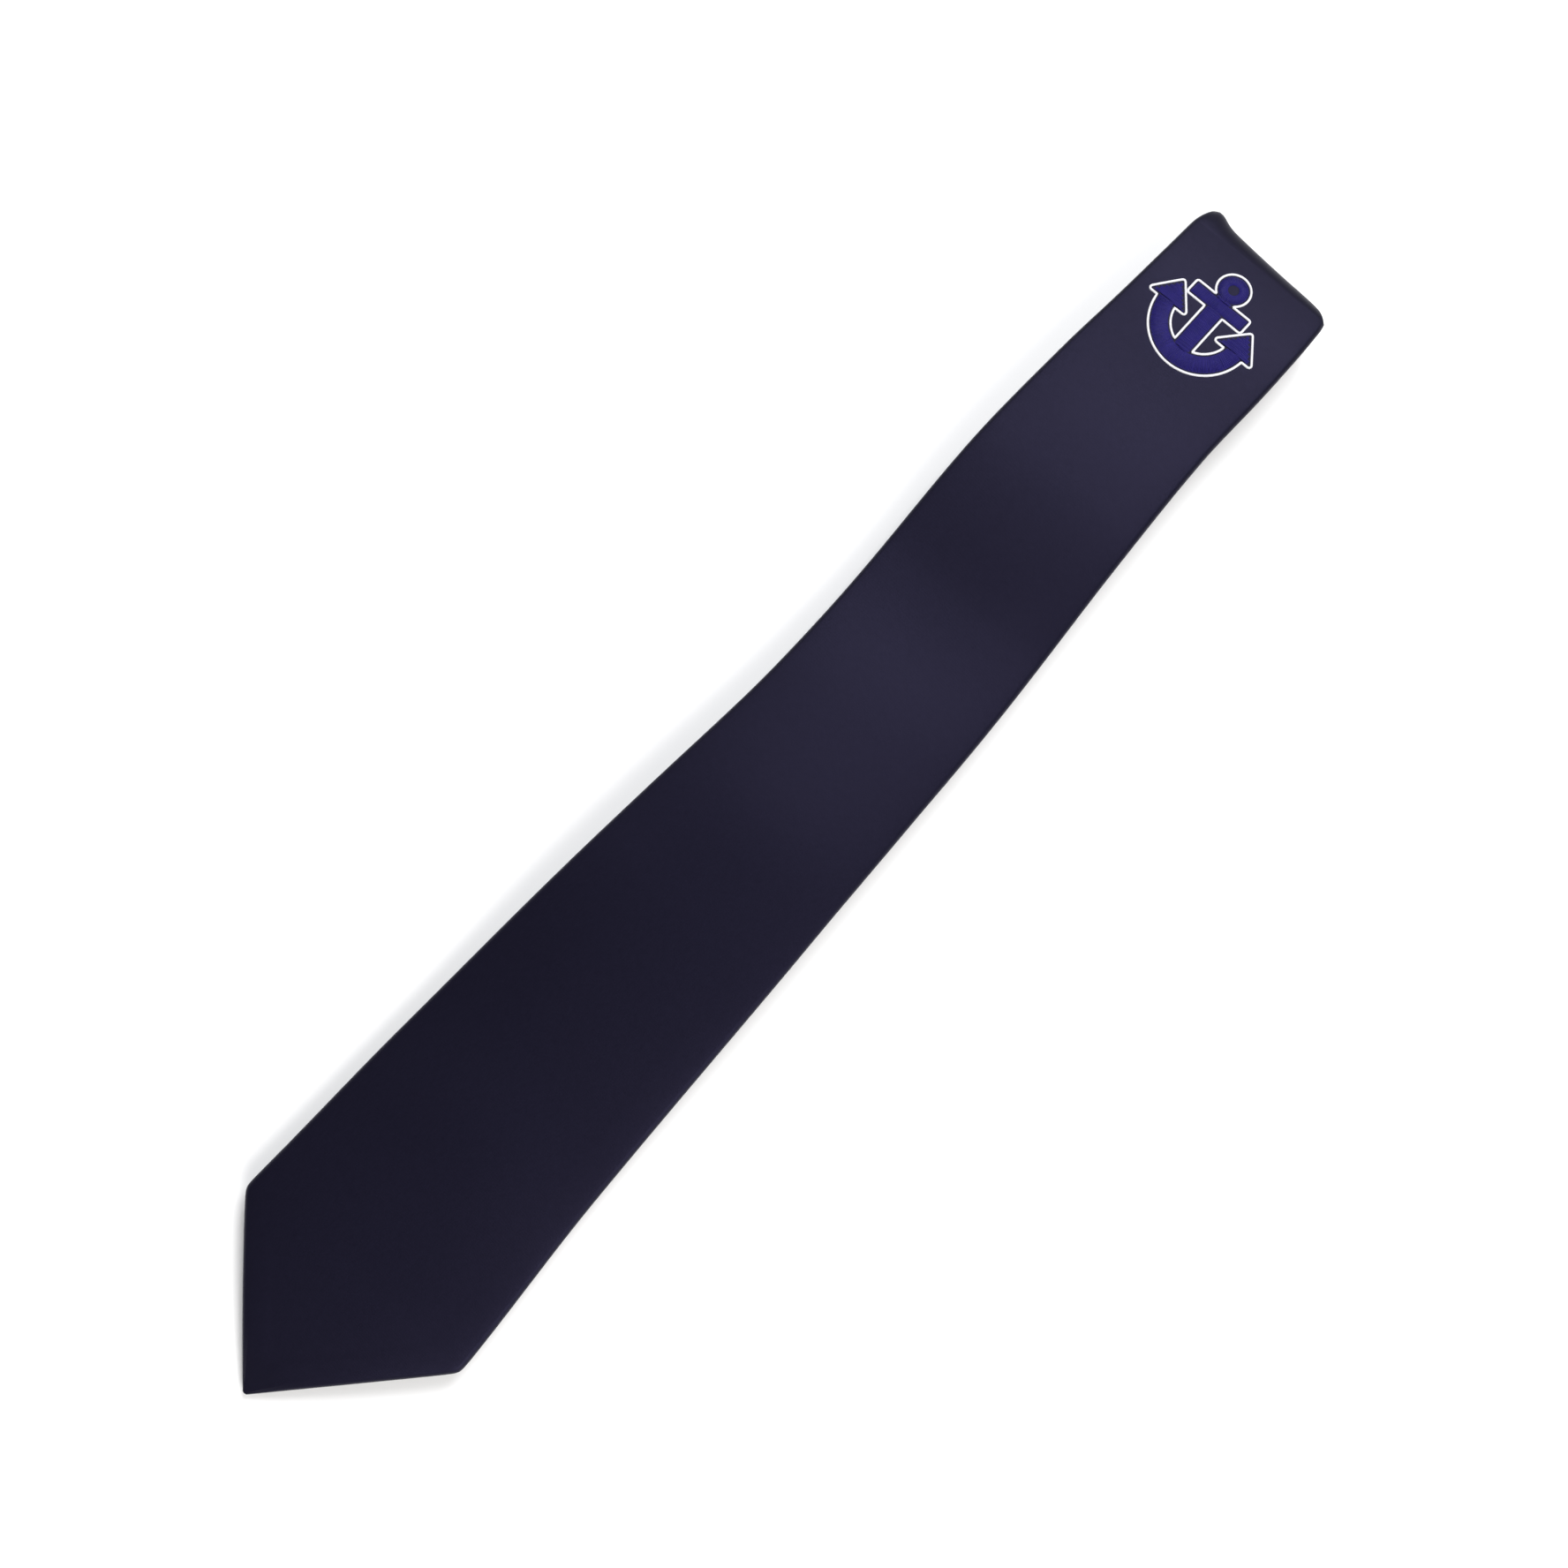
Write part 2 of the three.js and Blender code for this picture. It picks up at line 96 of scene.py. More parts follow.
def through(knots: Knots, x: Array) -> Array:
    """Value at x on a smooth line through the knots, level outside them.

    Args:
        knots: Pairs of place and value, in order of place.
        x: Places to read.

    Returns:
        The values, in the shape of x.
    """
    table = np.asarray(knots, float)
    places, values = table[:, 0], table[:, 1]
    slopes = np.gradient(values)
    slopes[1:-1] = (values[2:] - values[:-2]) / (places[2:] - places[:-2])
    slopes[0] = (values[1] - values[0]) / (places[1] - places[0])
    slopes[-1] = (values[-1] - values[-2]) / (places[-1] - places[-2])
    i = np.clip(np.searchsorted(places, x, side="right"), 1, len(places) - 1)
    span = places[i] - places[i - 1]
    t = np.clip((x - places[i - 1]) / span, 0.0, 1.0)
    start = (1 + 2 * t) * (1 - t) ** 2
    bend = t * (1 - t) ** 2 * slopes[i - 1] + t * t * (t - 1) * slopes[i]
    return start * values[i - 1] + (1 - start) * values[i] + span * bend


def soft_least(a: Array, b: Array, radius: float) -> Array:
    """The lesser of a and b, rounded over where they cross."""
    return 0.5 * (a + b - np.sqrt((a - b) ** 2 + radius**2))


def placed(name: str, data: bpy.types.ID) -> bpy.types.Object:
    """A new object of some data, in the scene."""
    obj = bpy.data.objects.new(name, data)
    bpy.context.scene.collection.objects.link(obj)
    return obj


def aimed(obj: bpy.types.Object, place: Vector, way: Vector) -> None:
    """Puts a light or a camera at a place and turns it to look along a way."""
    obj.location = place
    obj.rotation_mode = "QUATERNION"
    obj.rotation_quaternion = way.to_track_quat("-Z", "Y")


# ------------------------------------------------------------------ the tie's shape


@dataclass(frozen=True)
class HalfTurn:
    """A fold of the tie: a half turn about an axis across it."""

    y: float
    z: float
    radius: float
    bulge: int
    front: int
    start: float

    @property
    def end(self) -> float:
        """Length along the cloth where the turn ends."""
        return self.start + math.pi * self.radius

    def angle(self, length: Array) -> Array:
        """Angle turned at a length along the cloth, from 0 to pi."""
        return np.clip((length - self.start) / self.radius, 0.0, math.pi)


@dataclass(frozen=True)
class TieShape:
    """The lie of the whole tie: its middle line, its edges and its soft relief."""

    origin: tuple[float, float] = (0.0, 0.0)
    half: float = 1.5
    pitch: float = 3.6
    step_up: tuple[float, float] = (120.0, 165.0)
    blade_level: float = 8.9
    blade_steps: tuple[tuple[float, float, float], ...] = ((95, 90, 5.2), (300, 52, 2.6))
    droop_reach: float = 55.0
    point_droop: float = 7.2
    fold_1: HalfTurn = HalfTurn(439.5, 12.7, 4.0, 1, 1, 439.5)
    fold_2: HalfTurn = HalfTurn(50.0, 3.3, 1.8, -1, -1, 439.5 + math.pi * 4.0 + 389.5)
    fold_3: HalfTurn = HalfTurn(
        415.0, 3.3, 1.8, 1, 1, 439.5 + math.pi * 5.8 + 389.5 + 365.0
    )
    tail_point: float = 170.0
    blade_slope: float = 0.9195
    tail_slope: float = 0.94
    blade_corner: float = 43.5
    tail_corner: float = 25.0
    blade_tack: float = 92.0
    tail_tack: float = 50.0
    blade_seam_y: float = 242.0
    tail_seam_y: float = 203.0
    hem: float = 10.0
    point_hem: float = 13.6
    widths: Knots = (
        (43.5, 80), (105, 74), (175, 68), (240, 61.2), (260, 60), (340, 57.5),
        (382, 54.3), (408, 53.0), (426, 52.0), (439.5, 51), (490, 45.6), (650, 38), (800, 33),
        (950, 33), (1200, 40), (1438, 47),
    )
    blade_sway: Knots = (
        (0, 0), (44, 1.5), (104, 0.35), (200, 1.8), (245, 2.6), (280, 2), (340, -1.2),
        (382, -1.7), (408, -0.5), (426, -0.1), (439.5, -0.3),
    )
    neck_sway: Knots = ((50, 0), (320, 0), (400, 0.4), (425, 0.9), (439.5, -0.3))
    edge_droop: Knots = ((0, 0.4), (44, 1.3), (130, 1.3), (250, 1.0), (380, 0.5), (425, 0))
    fold_drop: float = 1.7
    fold_reach: float = 20.0
    fold_corner: float = 5.6
    fold_nose: float = 3.7
    fold_half: float = 25.5
    swells: tuple[tuple[float, float, float, float, float], ...] = (
        (1.1, 97, 8, 17, 32),
        (0.4, 150, -14, 30, 24),
        (1.5, 212, 6, 30, 38),
        (-1.4, 290, -8, 24, 36),
        (0.5, 366, 6, 20, 34),
        (0.8, 414, -4, 22, 40),
    )

    @property
    def full(self) -> float:
        """Length of the whole tie from point to point."""
        return self.fold_3.end + self.fold_3.y - self.tail_point

    @property
    def blade_seam(self) -> float:
        """Length to the bias seam of the blade panel and the neck panel."""
        return self.fold_1.end + self.fold_1.y - self.blade_seam_y

    @property
    def tail_seam(self) -> float:
        """Length to the bias seam of the neck panel and the tail panel."""
        return self.fold_2.end + self.tail_seam_y - self.fold_2.y

    def blade_height(self, y: Array) -> Array:
        """Height of the blade's mid-thickness over the layers under it."""
        steps = [rise * smooth((y - at) / over) for at, over, rise in self.blade_steps]
        past = np.maximum(0.0, 1 - y / self.droop_reach)
        return self.blade_level + steps[0] + steps[1] - self.point_droop * past * past

    def over_tail(self, y: Array) -> Array:
        """How far the neck's two layers are raised where they lie on the tail."""
        return self.pitch * smooth((y - self.step_up[0]) / (self.step_up[1] - self.step_up[0]))

    def middle(self, length: Array) -> tuple[Array, Array, Array, Array]:
        """Middle line of the tie at lengths along the cloth.

        Args:
            length: Lengths from the blade's point.

        Returns:
            y and z of the line, and y and z of the unit normal towards the front.
        """
        one, two, three = self.fold_1, self.fold_2, self.fold_3
        half, pitch = self.half, self.pitch
        flat_layers: list[tuple[Array, Callable[[Array], Array], int]] = [
            (length, self.blade_height, 1),
            (one.y - (length - one.end), lambda y: half + pitch + self.over_tail(y), -1),
            (two.y + (length - two.end), lambda y: half + self.over_tail(y), 1),
            (three.y - (length - three.end), lambda y: half + 0 * y, -1),
        ]
        turns = [one, two, three]
        within = [length < one.start, length < one.end, length < two.start]
        within += [length < two.end, length < three.start, length < three.end]
        choices: list[tuple[Array, Array, Array, Array]] = []
        for i, (y, height, front) in enumerate(flat_layers):
            slope = height(y + 0.5) - height(y - 0.5)
            size = front / np.sqrt(1 + slope**2)
            choices.append((y, height(y), -slope * size, size))
            if i < 3:
                turn = turns[i]
                angle = turn.angle(length)
                out_y, out_z = turn.bulge * np.sin(angle), np.cos(angle)
                choices.append((
                    turn.y + turn.radius * out_y, turn.z + turn.radius * out_z,
                    out_y * turn.front, out_z * turn.front,
                ))
        picked = [
            np.select(within, [c[k] for c in choices[:-1]], choices[-1][k]) for k in range(4)
        ]
        return picked[0], picked[1], picked[2], picked[3]

    def sway(self, length: Array) -> Array:
        """Sideways place of the centre line."""
        on_blade = length < self.fold_1.start
        on_upper = (length >= self.fold_1.end) & (length < self.fold_2.start)
        y_upper = self.fold_1.y - (length - self.fold_1.end)
        in_turn = (length >= self.fold_1.start) & (length < self.fold_1.end)
        return np.select(
            [on_blade, in_turn, on_upper],
            [through(self.blade_sway, length), self.blade_sway[-1][1],
             through(self.neck_sway, y_upper)],
            0.0,
        )

    def edges(self, length: Array) -> tuple[Array, Array]:
        """Places of the two edges at a length, left (negative) then right."""
        half_width = through(self.widths, length) / 2
        centre = self.sway(length)
        point = np.minimum(self.blade_slope * length, self.tail_slope * (self.full - length))
        away = np.maximum(self.fold_1.start - length, length - self.fold_1.end)
        nose = self.fold_nose * np.sin(self.fold_1.angle(length)) - np.maximum(away, 0)
        bend = self.fold_corner - self.fold_nose
        tuck = self.fold_corner - np.sqrt(
            self.fold_corner**2 - np.clip(bend + nose, 0, self.fold_corner - 0.1) ** 2
        )
        left = -soft_least(point, half_width - centre - 0.2 * tuck, 1.1)
        right = soft_least(point, half_width + centre - tuck, 1.1)
        return left, right

    def roll(self, length: Array) -> Array:
        """Half the tie's thickness, which shrinks at the two points."""
        left, right = self.edges(length)
        return self.half * (0.42 + 0.58 * smooth((right - left) / 26))

    def opening(self, length: Array) -> Array:
        """Half the gap between the back flaps. It's nothing above the bar tacks."""
        left, right = self.edges(length)
        half_width = (right - left) / 2
        from_tail = self.full - length
        by_blade = length < self.full / 2
        corner = np.where(by_blade, self.blade_corner, self.tail_corner)
        tack = np.where(by_blade, self.blade_tack, self.tail_tack)
        place = np.where(by_blade, length, from_tail)
        hem = np.where(place < corner, self.point_hem, self.hem)
        widest = np.maximum(half_width - hem, 0.05)
        share = np.clip((tack - place) / (tack - corner), 0.0, 1.0)
        return np.where(place < corner, widest, 0.05 + (widest - 0.05) * share**1.6)

    def relief(self, length: Array, x: Array) -> Array:
        """Height that the soft lie of the blade adds to its middle line."""
        centre = self.sway(length)
        half_width = through(self.widths, length) / 2
        across = np.abs(x - centre) / half_width
        drooped = through(self.edge_droop, length) * across**2.6
        swell = np.zeros(np.broadcast(length, x).shape)
        for height, at, side, along, wide in self.swells:
            swell += height * np.exp(-(((length - at) / along) ** 2) - ((x - side) / wide) ** 2)
        fade = 1 - smooth((length - self.fold_1.start + 26) / 26)
        on_blade = length < self.fold_1.start
        return np.where(on_blade, fade * swell - drooped, 0.0)

    def fold_relief(self, length: Array, x: Array) -> tuple[Array, Array]:
        """How the first fold differs from a plain half turn.

        The turn is a little flatter than round, its nose runs askew across the
        tie, its two corners are rounded and it dips slightly between them.

        Returns:
            Additions to y and to z.
        """
        turn = self.fold_1
        angle = turn.angle(length)
        nose = np.sin(angle)
        left, right = self.edges(length)
        skew = -1.8 * x / self.fold_half
        inset = np.minimum(x - left, right - x)
        reach = np.where(x < 0, 3.2, 1.5)
        corner = 0.8 * reach * (1 - np.sqrt(1 - np.clip(1 - inset / reach, 0, 1) ** 2))
        ear = 1.5 * np.exp(-(((x + 21) / 3.6) ** 2))
        dip = 0.7 * (1 - (x / self.fold_half) ** 2)
        away = np.maximum(np.maximum(turn.start - length, length - turn.end), 0)
        near = np.clip(1 - away / self.fold_reach, 0, 1) ** 2
        match = self.fold_drop * 2 * turn.radius / self.fold_reach
        drop = np.cos(angle) * (self.fold_drop * near + match * nose)
        return nose * (skew + ear - corner - dip), -drop

    def place(self, length: Array, x: Array, offset: Array) -> Array:
        """Points of the tie in the shared frame.

        Args:
            length: Lengths along the cloth.
            x: Places across the tie, from its straight centre line.
            offset: Offsets from mid-thickness towards the front.

        Returns:
            Points in metres, with a last axis of three.
        """
        length, x, offset = np.broadcast_arrays(
            np.asarray(length, float), np.asarray(x, float), np.asarray(offset, float)
        )
        y, z, normal_y, normal_z = self.middle(length)
        fold_y, fold_z = self.fold_relief(length, x)
        points = np.stack([
            x + self.origin[0],
            y + normal_y * offset + fold_y + self.origin[1],
            z + normal_z * offset + fold_z + self.relief(length, x),
        ], axis=-1)
        return points * MM

    def front(self, length: Array, x: Array) -> Array:
        """Offset of the silk's front face at a place on the tie."""
        left, right = self.edges(length)
        share = np.clip((x - left) / (right - left), 0, 1)
        crown = 0.28 * (1 - np.abs(2 * share - 1) ** 3.2)
        hem_line = 0.05 * smooth((np.minimum(x - left, right - x) - self.hem) / 1.2)
        return self.roll(length) + crown - hem_line


# ------------------------------------------------------------------ meshes


def strip(a: Array, b: Array) -> Array:
    """Faces between two lines of point numbers."""
    return np.stack([a[:-1], a[1:], b[1:], b[:-1]], axis=1)


def closed(ids: Array) -> Array:
    """A grid of point numbers with its first column repeated at the end."""
    return np.concatenate([ids, ids[:, :1]], axis=1)


def solid(name: str, points: Array, faces: list[list[int]], uv: Array) -> bpy.types.Object:
    """An object from points and faces, smooth except at its sharp edges.

    Args:
        name: Name of the object.
        points: Points in metres. Those that no face uses are left out.
        faces: Point numbers of each face, repeated numbers allowed.
        uv: Flat place of each point in metres.

    Returns:
        The object, in the scene.
    """
    cleaned = [[p for k, p in enumerate(face) if p != face[k - 1]] for face in faces]
    cleaned = [face for face in cleaned if len(face) > 2]
    used = np.unique(np.concatenate(cleaned))
    number = np.zeros(len(points), int)
    number[used] = np.arange(len(used))
    mesh = bpy.data.meshes.new(name)
    mesh.from_pydata(points[used].tolist(), [], [number[face].tolist() for face in cleaned])
    layer = mesh.uv_layers.new(name="cloth")
    corner = np.zeros(len(mesh.loops), int)
    mesh.loops.foreach_get("vertex_index", corner)
    layer.data.foreach_set("uv", uv[used][corner].astype(np.float32).ravel())
    mesh.validate()
    mesh.polygons.foreach_set("use_smooth", [True] * len(mesh.polygons))
    mesh.set_sharp_from_angle(angle=math.radians(50))
    return placed(name, mesh)


def grid_normals(points: Array) -> Array:
    """Unit outward normals of a grid of points, rows along and columns across."""
    normals = np.cross(np.gradient(points, axis=1), np.gradient(points, axis=0))
    return normals / np.maximum(np.linalg.norm(normals, axis=-1, keepdims=True), 1e-12)


def flat_places(across: Array, along: Array) -> Array:
    """Flat places in metres, from distances in millimetres."""
    return np.stack(np.broadcast_arrays(across * MM, along * MM), axis=-1)


@dataclass
class Sheet:
    """A sheet of cloth: two matching grids of points, its outer and inner faces."""

    outer: Array
    inner: Array
    uv: Array
    closed_round: bool = False
    pinch_first: bool = False
    pinch_last: bool = False

    def rows(self, first: int, last: int) -> "Sheet":
        """The part from one row of the grids to another, both kept."""
        part = slice(first, last + 1)
        return Sheet(
            self.outer[part], self.inner[part], self.uv[part], self.closed_round,
            self.pinch_first and first == 0,
            self.pinch_last and last == len(self.outer) - 1,
        )

    def build(self, name: str) -> bpy.types.Object:
        """One closed mesh of both faces and the edges between them."""
        ids = np.arange(self.outer[..., 0].size).reshape(self.outer.shape[:2])
        inner = ids + ids.size
        points = np.concatenate([self.outer.reshape(-1, 3), self.inner.reshape(-1, 3)])
        for pinched, row in ((self.pinch_first, 0), (self.pinch_last, -1)):
            if pinched:
                inner[row] = inner[row, 0]
                points[inner[row, 0]] = self.outer[row].mean(axis=0)
        if self.closed_round:
            ids, inner = closed(ids), closed(inner)
        pairs = [*zip(ids[:-1], ids[1:]), *zip(inner.T[:-1], inner.T[1:])]
        pairs += [(ids[0, ::-1], inner[0, ::-1]), (ids[-1], inner[-1])]
        if not self.closed_round:
            pairs += [(ids[:, 0], inner[:, 0]), (ids[::-1, -1], inner[::-1, -1])]
        faces = np.concatenate([strip(a, b) for a, b in pairs]).tolist()
        return solid(name, points, faces, np.concatenate([self.uv.reshape(-1, 2)] * 2))


# ------------------------------------------------------------------ thread by geometry nodes


class Graph:
    """Adds and joins the nodes of one tree."""

    def __init__(self, tree: bpy.types.NodeTree) -> None:
        """Starts with an empty tree."""
        self.tree = tree
        tree.nodes.clear()

    def feed(self, socket: Socket, value: object) -> None:
        """Links an input to an output, or sets its value."""
        if isinstance(value, bpy.types.NodeSocket):
            self.tree.links.new(value, socket)
        else:
            socket.default_value = value

    def set(self, node: bpy.types.Node, **settings: object) -> bpy.types.Node:
        """Sets properties of a node, or feeds its inputs of the same names."""
        for name, value in settings.items():
            if hasattr(node, name):
                setattr(node, name, value)
            else:
                self.feed(node.inputs[name.replace("_", " ")], value)
        return node

    def add(self, kind: str, **settings: object) -> bpy.types.Node:
        """A new node of a kind, with the settings that set() takes."""
        return self.set(self.tree.nodes.new(kind), **settings)

    def maths(self, operation: str, *values: object) -> Socket:
        """Output of a Math node whose inputs are numbers or sockets."""
        node = self.add("ShaderNodeMath", operation=operation)
        for socket, value in zip(node.inputs, values):
            self.feed(socket, value)
        return node.outputs[0]

    def times(self, a: object, b: object) -> Socket:
        """a times b."""
        return self.maths("MULTIPLY", a, b)

    def plus(self, a: object, b: object) -> Socket:
        """a plus b."""
        return self.maths("ADD", a, b)

    def noise(
        self, scale: float, detail: float, roughness: float, at: Socket | None = None
    ) -> Socket:
        """A noise at a place, or at the object's own place."""
        place = at or self.add("ShaderNodeTexCoord").outputs["Object"]
        node = self.add("ShaderNodeTexNoise", Scale=scale, Detail=detail, Roughness=roughness,
                        Vector=place)
        return node.outputs["Fac"]

    def blend(self, share: Socket, low: Colour, high: Colour) -> Socket:
        """A colour between two, by a share from 0 to 1."""
        ramp = self.add("ShaderNodeValToRGB", Fac=share)
        for element, colour in zip(ramp.color_ramp.elements, (low, high)):
            element.color = (*colour, 1.0)
        return ramp.outputs["Color"]


class ThreadTree:
    """A geometry tree that makes round thread from the paths of a mesh."""

    def __init__(self, name: str, **inputs: str) -> None:
        """Names the tree's inputs and starts with its paths as curves.

        Args:
            name: Name of the tree.
            **inputs: Kinds of the inputs beside those that every thread has.
        """
        self.tree = bpy.data.node_groups.new(name, "GeometryNodeTree")
        every = {"Thread_Radius": "Float", "Sides": "Int", "Finish": "Material"}
        for title, kind in {"Paths": "Geometry", **inputs, **every}.items():
            self.tree.interface.new_socket(
                title.replace("_", " "), in_out="INPUT", socket_type="NodeSocket" + kind)
        self.tree.interface.new_socket(
            "Thread", in_out="OUTPUT", socket_type="NodeSocketGeometry")
        self.graph = Graph(self.tree)
        self.given = self.graph.add("NodeGroupInput").outputs
        self.curve = self.graph.add(
            "GeometryNodeMeshToCurve", Mesh=self.given["Paths"]).outputs["Curve"]

    def measured(self, curve: Socket, name: str, part: str) -> Socket:
        """A curve whose points keep their place along it, as an attribute."""
        place = self.graph.add("GeometryNodeSplineParameter").outputs[part]
        return self.graph.add(
            "GeometryNodeStoreNamedAttribute", data_type="FLOAT", domain="POINT", Name=name,
            Geometry=curve, Value=place,
        ).outputs["Geometry"]

    def round(self, curve: Socket) -> Socket:
        """Round thread along a curve."""
        circle = self.graph.add(
            "GeometryNodeCurvePrimitiveCircle", mode="RADIUS",
            Radius=self.given["Thread Radius"], Resolution=self.given["Sides"])
        return self.graph.add(
            "GeometryNodeCurveToMesh", Fill_Caps=True,
            Curve=self.measured(curve, "along", "Length"),
            Profile_Curve=self.measured(circle.outputs["Curve"], "around", "Factor"),
        ).outputs["Mesh"]

    def close(self, mesh: Socket) -> bpy.types.NodeTree:
        """Ends the tree with smooth shading, real instances and its finish."""
        shade = self.graph.add("GeometryNodeSetShadeSmooth", Geometry=mesh)
        real = self.graph.add("GeometryNodeRealizeInstances", Geometry=shade.outputs[0])
        finish = self.graph.add("GeometryNodeSetMaterial", Geometry=real.outputs[0],
                                Material=self.given["Finish"])
        end = self.graph.add("NodeGroupOutput")
        self.graph.feed(end.inputs[0], finish.outputs[0])
        return self.tree


def laid_thread_tree() -> bpy.types.NodeTree:
    """A tree that turns every path of a mesh into one laid thread."""
    thread = ThreadTree("laid_thread")
    return thread.close(thread.round(thread.curve))


def stitch_row_tree() -> bpy.types.NodeTree:
    """A tree that sets arched stitches at even distances along a path."""
    thread = ThreadTree("stitch_row", Pitch="Float", Stitch_Length="Float", Rise="Float",
                        Turn="Float", Away="Vector")
    graph, given = thread.graph, thread.given
    even = graph.add("GeometryNodeResampleCurve", mode="LENGTH", Curve=thread.curve,
                     Length=given["Pitch"])
    turn = graph.add("ShaderNodeVectorRotate", rotation_type="AXIS_ANGLE",
                     Vector=graph.add("GeometryNodeInputTangent").outputs["Tangent"],
                     Axis=given["Away"], Angle=given["Turn"])
    facing = graph.add("FunctionNodeAxesToRotation", primary_axis="Z", secondary_axis="X")
    graph.feed(facing.inputs[0], given["Away"])
    graph.feed(facing.inputs[1], turn.outputs["Vector"])
    halved = graph.times(given["Stitch Length"], 0.5)
    arch = graph.add("GeometryNodeCurveQuadraticBezier", Resolution=6)
    for end, side in (("Start", -1.0), ("Middle", 0.0), ("End", 1.0)):
        vector = graph.add("ShaderNodeCombineXYZ", X=graph.times(halved, side))
        if not side:
            graph.set(vector, Z=graph.times(given["Rise"], 2.0))
        graph.feed(arch.inputs[end], vector.outputs[0])
    copies = graph.add("GeometryNodeInstanceOnPoints", Points=even.outputs["Curve"],
                       Instance=thread.round(arch.outputs["Curve"]), Rotation=facing.outputs[0])
    return thread.close(copies.outputs["Instances"])


class Sewing:
    """Makes thread and stitches from paths with the two geometry trees."""

    def __init__(self) -> None:
        """Builds both trees once."""
        self.laid = laid_thread_tree()
        self.row = stitch_row_tree()

    def _made(
        self, name: str, paths: Sequence[Array], tree: bpy.types.NodeTree,
        values: dict[str, object],
    ) -> bpy.types.Object:
        """A plain mesh of what a tree makes from some paths."""
        starts = np.cumsum([0] + [len(path) for path in paths])
        edges = [(start + i, start + i + 1) for start, path in zip(starts.tolist(), paths)
                 for i in range(len(path) - 1)]
        mesh = bpy.data.meshes.new(name)
        mesh.from_pydata(np.concatenate(list(paths)).tolist(), edges, [])
        obj = placed(name, mesh)
        modifier = obj.modifiers.new(name, "NODES")
        modifier.node_group = tree
        for item in tree.interface.items_tree:
            if item.in_out == "INPUT" and item.name in values:
                modifier[item.identifier] = values[item.name]
        graph = bpy.context.evaluated_depsgraph_get()
        made = bpy.data.meshes.new_from_object(
            obj.evaluated_get(graph), preserve_all_data_layers=True, depsgraph=graph
        )
        obj.modifiers.clear()
        obj.data = made
        made.name = name
        bpy.data.meshes.remove(mesh)
        return obj

    def lay(
        self, name: str, paths: Sequence[Array], radius: float, finish: bpy.types.Material,
        sides: int = 6,
    ) -> bpy.types.Object:
        """One thread laid along each path. Radius is in millimetres."""
        values = {"Thread Radius": radius * MM, "Sides": sides, "Finish": finish}
        return self._made(name, paths, self.laid, values)

    def row_of(
        self, name: str, paths: Sequence[Array], finish: bpy.types.Material, *, pitch: float,
        length: float, rise: float, radius: float, turn: float = 0.0, away: float = -1.0,
    ) -> bpy.types.Object:
        """Arched stitches at even distances along each path.

        Args:
            name: Name of the object.
            paths: Points of each path, in metres.
            finish: Material of the thread.
            pitch: Distance from stitch to stitch.
            length: Length of a stitch.
            rise: Height of its arch.
            radius: Radius of the thread.
            turn: Angle in degrees from the path to the stitches.
            away: Direction away from the cloth, up (1) or down (-1).

        Returns:
            The object, a plain mesh.
        """
        values = {
            "Pitch": pitch * MM, "Stitch Length": length * MM, "Rise": rise * MM,
            "Turn": math.radians(turn), "Away": (0.0, 0.0, away),
            "Thread Radius": radius * MM, "Sides": 6, "Finish": finish,
        }
        return self._made(name, paths, self.row, values)


# ------------------------------------------------------------------ finishes


def new_shader(name: str) -> tuple[bpy.types.Material, Graph, bpy.types.Node]:
    """A material with a Principled shader that goes to its output."""
    material = bpy.data.materials.new(name)
    material.use_nodes = True
    graph = Graph(material.node_tree)
    shader = graph.add("ShaderNodeBsdfPrincipled")
    graph.add("ShaderNodeOutputMaterial", Surface=shader.outputs["BSDF"])
    return material, graph, shader


def bump(graph: Graph, height: Socket, strength: float, depth: float) -> Socket:
    """A normal from a height in a share of depth, millimetres."""
    node = graph.add("ShaderNodeBump", Strength=strength, Distance=depth * MM, Height=height)
    return node.outputs["Normal"]


class Weave(Enum):
    """How the two sets of yarn cross: how far the ridges lean."""

    SATIN = 0.45
    TWILL = 1.0


